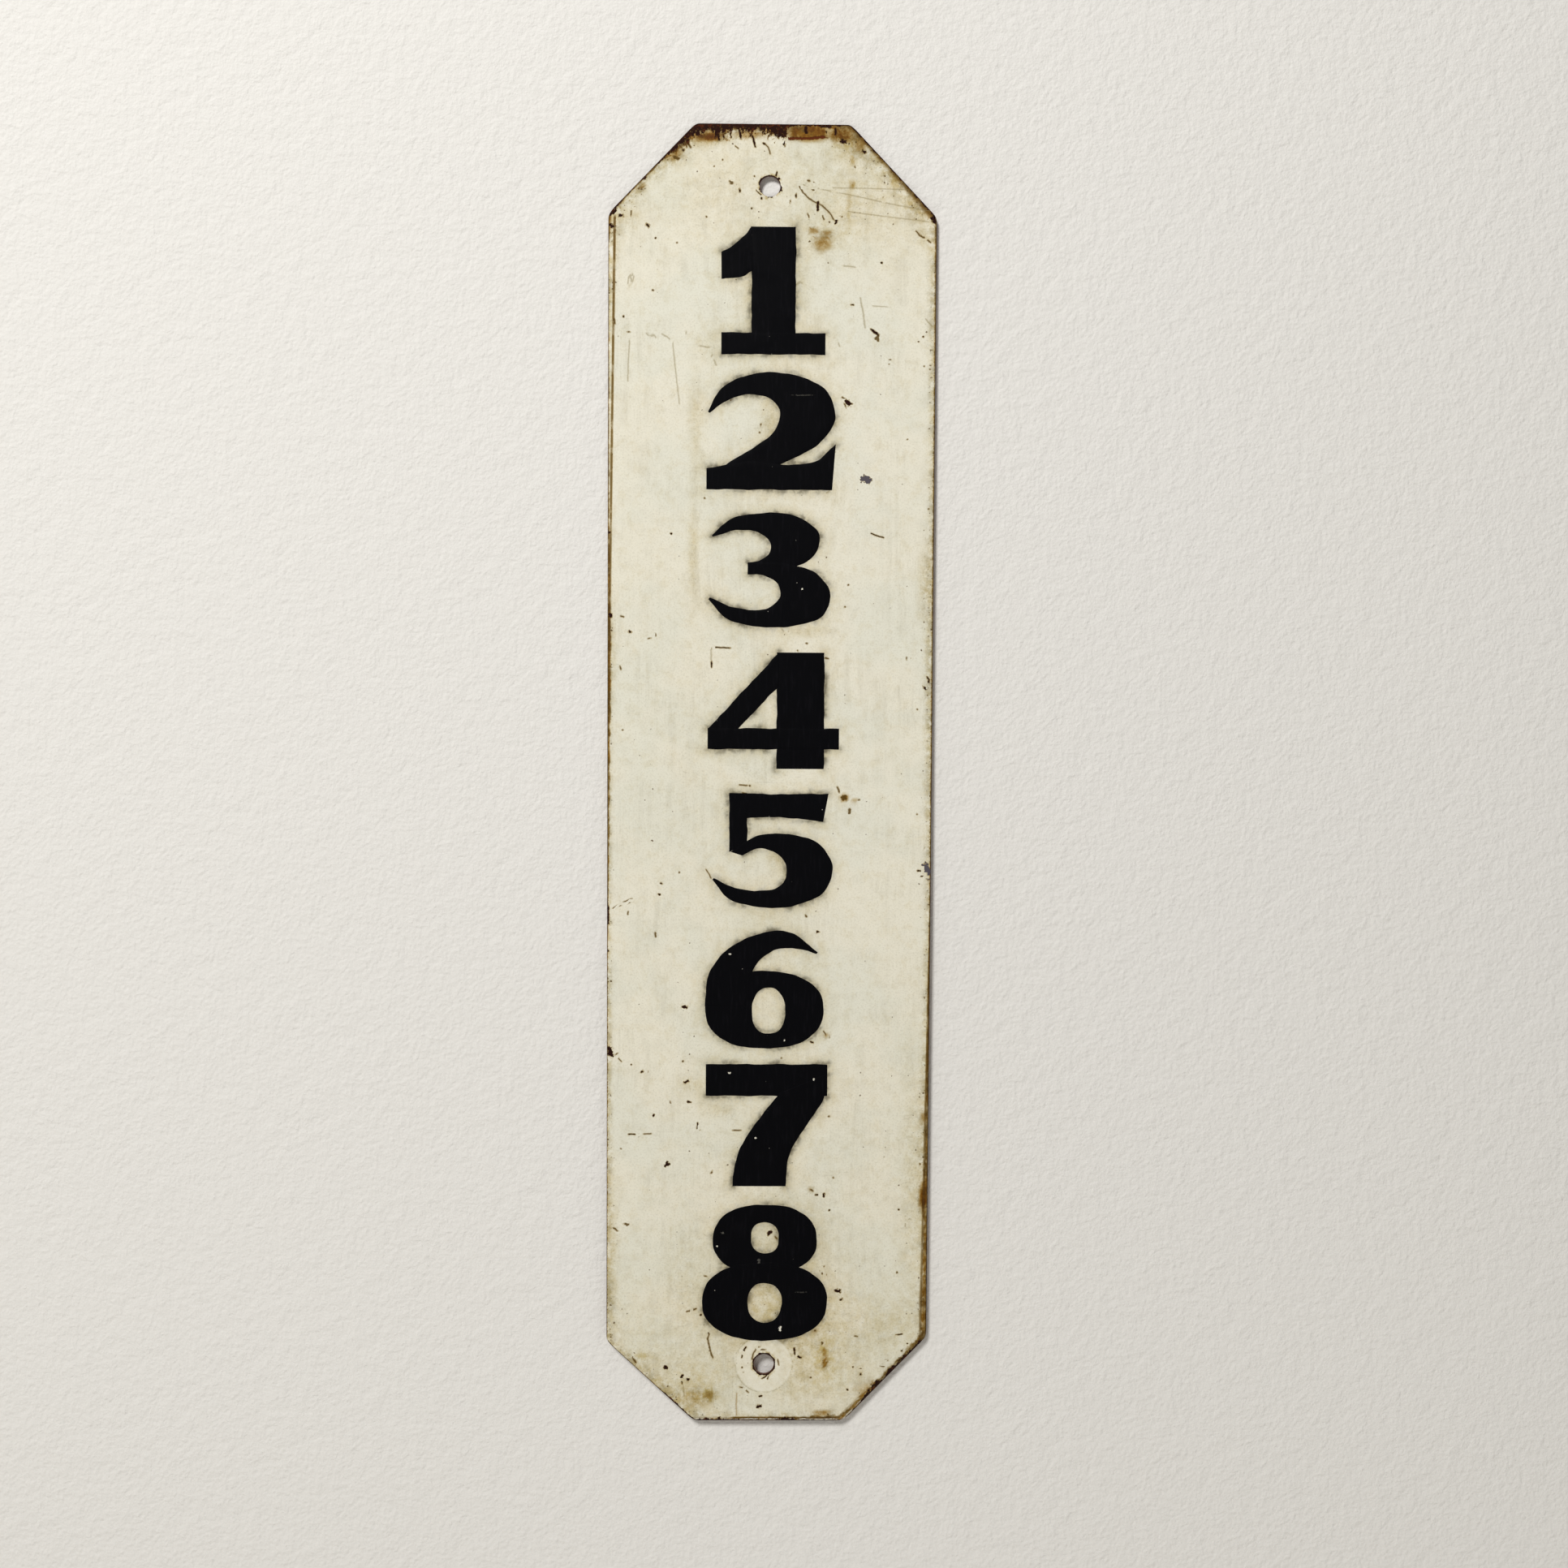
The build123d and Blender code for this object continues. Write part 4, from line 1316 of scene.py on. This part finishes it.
def rusty_steel(look):
    """Bare sheet steel gone brown, with scale, a few blue grey patches and clouds of orange rust."""
    w = Wiring(bpy.data.materials.new("rusty_steel"))
    where = w.coordinates()
    base = bare_steel(w, where, look, False)
    cloud = w.noise(where, 30, 5, 0.6, flat=False)
    patch = w.noise(where, 11, 4, 0.6, flat=False)
    spread = w.noise(where, 16, 6, 0.72, flat=False)
    base = w.mix(w.fade(cloud, 0.36, 0.64, 0.15, 0.80), base, look.rust)
    base = w.mix(w.fade(patch, 0.50, 0.72, 0.0, 0.16), base, look.slate)
    base = w.mix(w.fade(spread, 0.46, 0.70, 0.0, 0.34), base, look.amber)
    pits = w.noise(where, 1.1, 4, 0.7, flat=False)
    return w.finish(base, w.fade(pits, 0.3, 0.7, 0.65, 0.9), pits, 0.12, 0.35)


def pale_wall(stage, name, camera_only):
    """Matt pale paint with a fine rolled texture, which may show only to the camera in front of it."""
    w = Wiring(bpy.data.materials.new(name))
    where = w.coordinates()
    coarse = w.noise(where, 6.0, 3, 0.55, flat=False)
    fine = w.noise(where, 2.0, 2, 0.5, flat=False)
    texture = w.math("ADD", coarse, w.times(fine, 0.6))
    bump = (("Height", texture), ("Strength", 1.0), ("Distance", 0.7 * MM))
    normal = w.add("ShaderNodeBump", bump).outputs[0]
    surface = w.add("ShaderNodeBsdfDiffuse", ((0, tuple(stage.wall)), ("Normal", normal))).outputs[0]
    if camera_only:
        seen = w.add("ShaderNodeLightPath").outputs["Is Camera Ray"]
        front = w.math("SUBTRACT", 1.0, w.add("ShaderNodeNewGeometry").outputs["Backfacing"])
        clear = w.add("ShaderNodeBsdfTransparent").outputs[0]
        inputs = ((0, w.times(seen, front)), (1, clear), (2, surface))
        surface = w.add("ShaderNodeMixShader", inputs).outputs[0]
    w.add("ShaderNodeOutputMaterial", ((0, surface),))
    return w.block


# Operators

# Where the lamps stand in metres, and the camera in millimetres with its turns in degrees
KEY_PLACE = (-0.99, -1.94, 1.76)
KEY_SIZE = 0.7
REAR_PLACE = (0.80, 1.20, 0.70)
REAR_SIZE = 1.0
CAMERA_PLACE = (-0.6, -737.4, 28.3)
CAMERA_TURN = (87.79, -0.333, -0.66)

# How far the wall and the floor reach from the middle, in metres
STAGE_REACH = 2.0


class SIGN_OT_sheet(bpy.types.Operator):
    """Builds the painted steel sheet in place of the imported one"""

    bl_idname = "sign_plate.sheet"
    bl_label = "Painted Sheet"

    def execute(self, context):
        sizes, look = context.scene.sign_sheet, context.scene.sign_paint
        shell = sheet_shell(sizes)
        piece = shell.make("painted_sheet", [aged_cream_paint(look), rusty_steel(look)])
        write_wear(piece, shell.points, sizes, look)
        declare(piece)
        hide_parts(NODE)
        return {"FINISHED"}


class SIGN_OT_numerals(bpy.types.Operator):
    """Paints the column of black numerals on the sheet"""

    bl_idname = "sign_plate.numerals"
    bl_label = "Numerals"

    def execute(self, context):
        sizes, look = context.scene.sign_sheet, context.scene.sign_paint
        paint = numeral_black(look)
        surface = FACE + sizes.face_depth
        for number, numeral in enumerate(strokes(look), start=1):
            shell = Shell()
            for layer, (kind, first, second) in enumerate(numeral):
                lay_stroke(shell, kind, first, second, surface, look.film + layer * STROKE_RISE)
            declare(shell.make(f"numeral_{number}", [paint]))
        return {"FINISHED"}


class SIGN_OT_stage(bpy.types.Operator):
    """Sets up the wall, the floor, the lamps and the camera"""

    bl_idname = "sign_plate.stage"
    bl_label = "Stage"

    def execute(self, context):
        stage = context.scene.sign_stage
        span = np.array([-1.0, 1.0]) * STAGE_REACH
        across, up = np.meshgrid(span, span)
        behind = HIGH[1] + stage.wall_gap + (TOP - up) * stage.wall_lean
        below = np.full_like(across, BOTTOM - stage.floor_drop)
        wall = Shell()
        wall.add_faces(grid_faces(wall.add_points(across, behind, up)))
        wall.make("wall", [pale_wall(stage, "pale_wall", True)])
        floor = Shell()
        floor.add_faces(grid_faces(floor.add_points(across, up, below)))
        floor.make("floor", [pale_wall(stage, "pale_floor", False)])

        self.lamp(context, "key_lamp", KEY_PLACE, KEY_SIZE, stage.key_power)
        self.lamp(context, "rear_lamp", REAR_PLACE, REAR_SIZE, stage.back_power)
        self.sky(context, stage)

        camera = bpy.data.objects.new("camera", bpy.data.cameras.new("camera"))
        camera.data.lens = stage.lens
        camera.data.sensor_width = 36
        camera.location = Vector(CAMERA_PLACE) * MM
        camera.rotation_euler = [radians(turn) for turn in CAMERA_TURN]
        context.collection.objects.link(camera)
        context.scene.camera = camera
        context.scene.view_settings.view_transform = "Standard"
        return {"FINISHED"}

    def lamp(self, context, name, place, size, power):
        """A square lamp that faces the middle of the sign."""
        light = bpy.data.lights.new(name, "AREA")
        light.shape = "SQUARE"
        light.size = size
        light.energy = power
        lamp = bpy.data.objects.new(name, light)
        lamp.location = place
        lamp.rotation_euler = (-Vector(place)).to_track_quat("-Z", "Y").to_euler()
        context.collection.objects.link(lamp)

    def sky(self, context, stage):
        """Even light from all round, seen as the wall's colour where nothing else is."""
        w = Wiring(bpy.data.worlds.new("sky"))
        light = w.add("ShaderNodeBackground", (("Strength", stage.sky),)).outputs[0]
        shown = w.add("ShaderNodeBackground", (("Color", tuple(stage.wall)),)).outputs[0]
        path = w.add("ShaderNodeLightPath").outputs
        seen = w.most(path["Is Camera Ray"], path["Is Glossy Ray"], path["Is Transmission Ray"])
        choose = w.add("ShaderNodeMixShader", ((0, seen), (1, light), (2, shown))).outputs[0]
        w.add("ShaderNodeOutputWorld", ((0, choose),))
        context.scene.world = w.block


class SIGN_PT_panel(bpy.types.Panel):
    """Lists the sign's pieces and their sizes and colours"""

    bl_idname = "SIGN_PT_panel"
    bl_label = "Sign Plate"
    bl_space_type = "VIEW_3D"
    bl_region_type = "UI"
    bl_category = "Sign Plate"

    def draw(self, context):
        for operator in OPERATORS:
            self.layout.operator(operator.bl_idname)
        for name in GROUPS:
            group = getattr(context.scene, name)
            box = self.layout.box()
            for key in group.__annotations__:
                box.prop(group, key)


GROUPS = {"sign_sheet": SheetSizes, "sign_paint": PaintLook, "sign_stage": StageLook}
OPERATORS = (SIGN_OT_sheet, SIGN_OT_numerals, SIGN_OT_stage)


def register():
    for item in (*GROUPS.values(), *OPERATORS, SIGN_PT_panel):
        bpy.utils.register_class(item)
    for name, group in GROUPS.items():
        setattr(bpy.types.Scene, name, PointerProperty(type=group))


def unregister():
    for name in GROUPS:
        delattr(bpy.types.Scene, name)
    for item in (SIGN_PT_panel, *reversed(OPERATORS), *reversed(GROUPS.values())):
        bpy.utils.unregister_class(item)


def main():
    """Builds everything."""
    register()
    bpy.ops.sign_plate.sheet()
    bpy.ops.sign_plate.numerals()
    bpy.ops.sign_plate.stage()


if __name__ == "__main__":
    main()
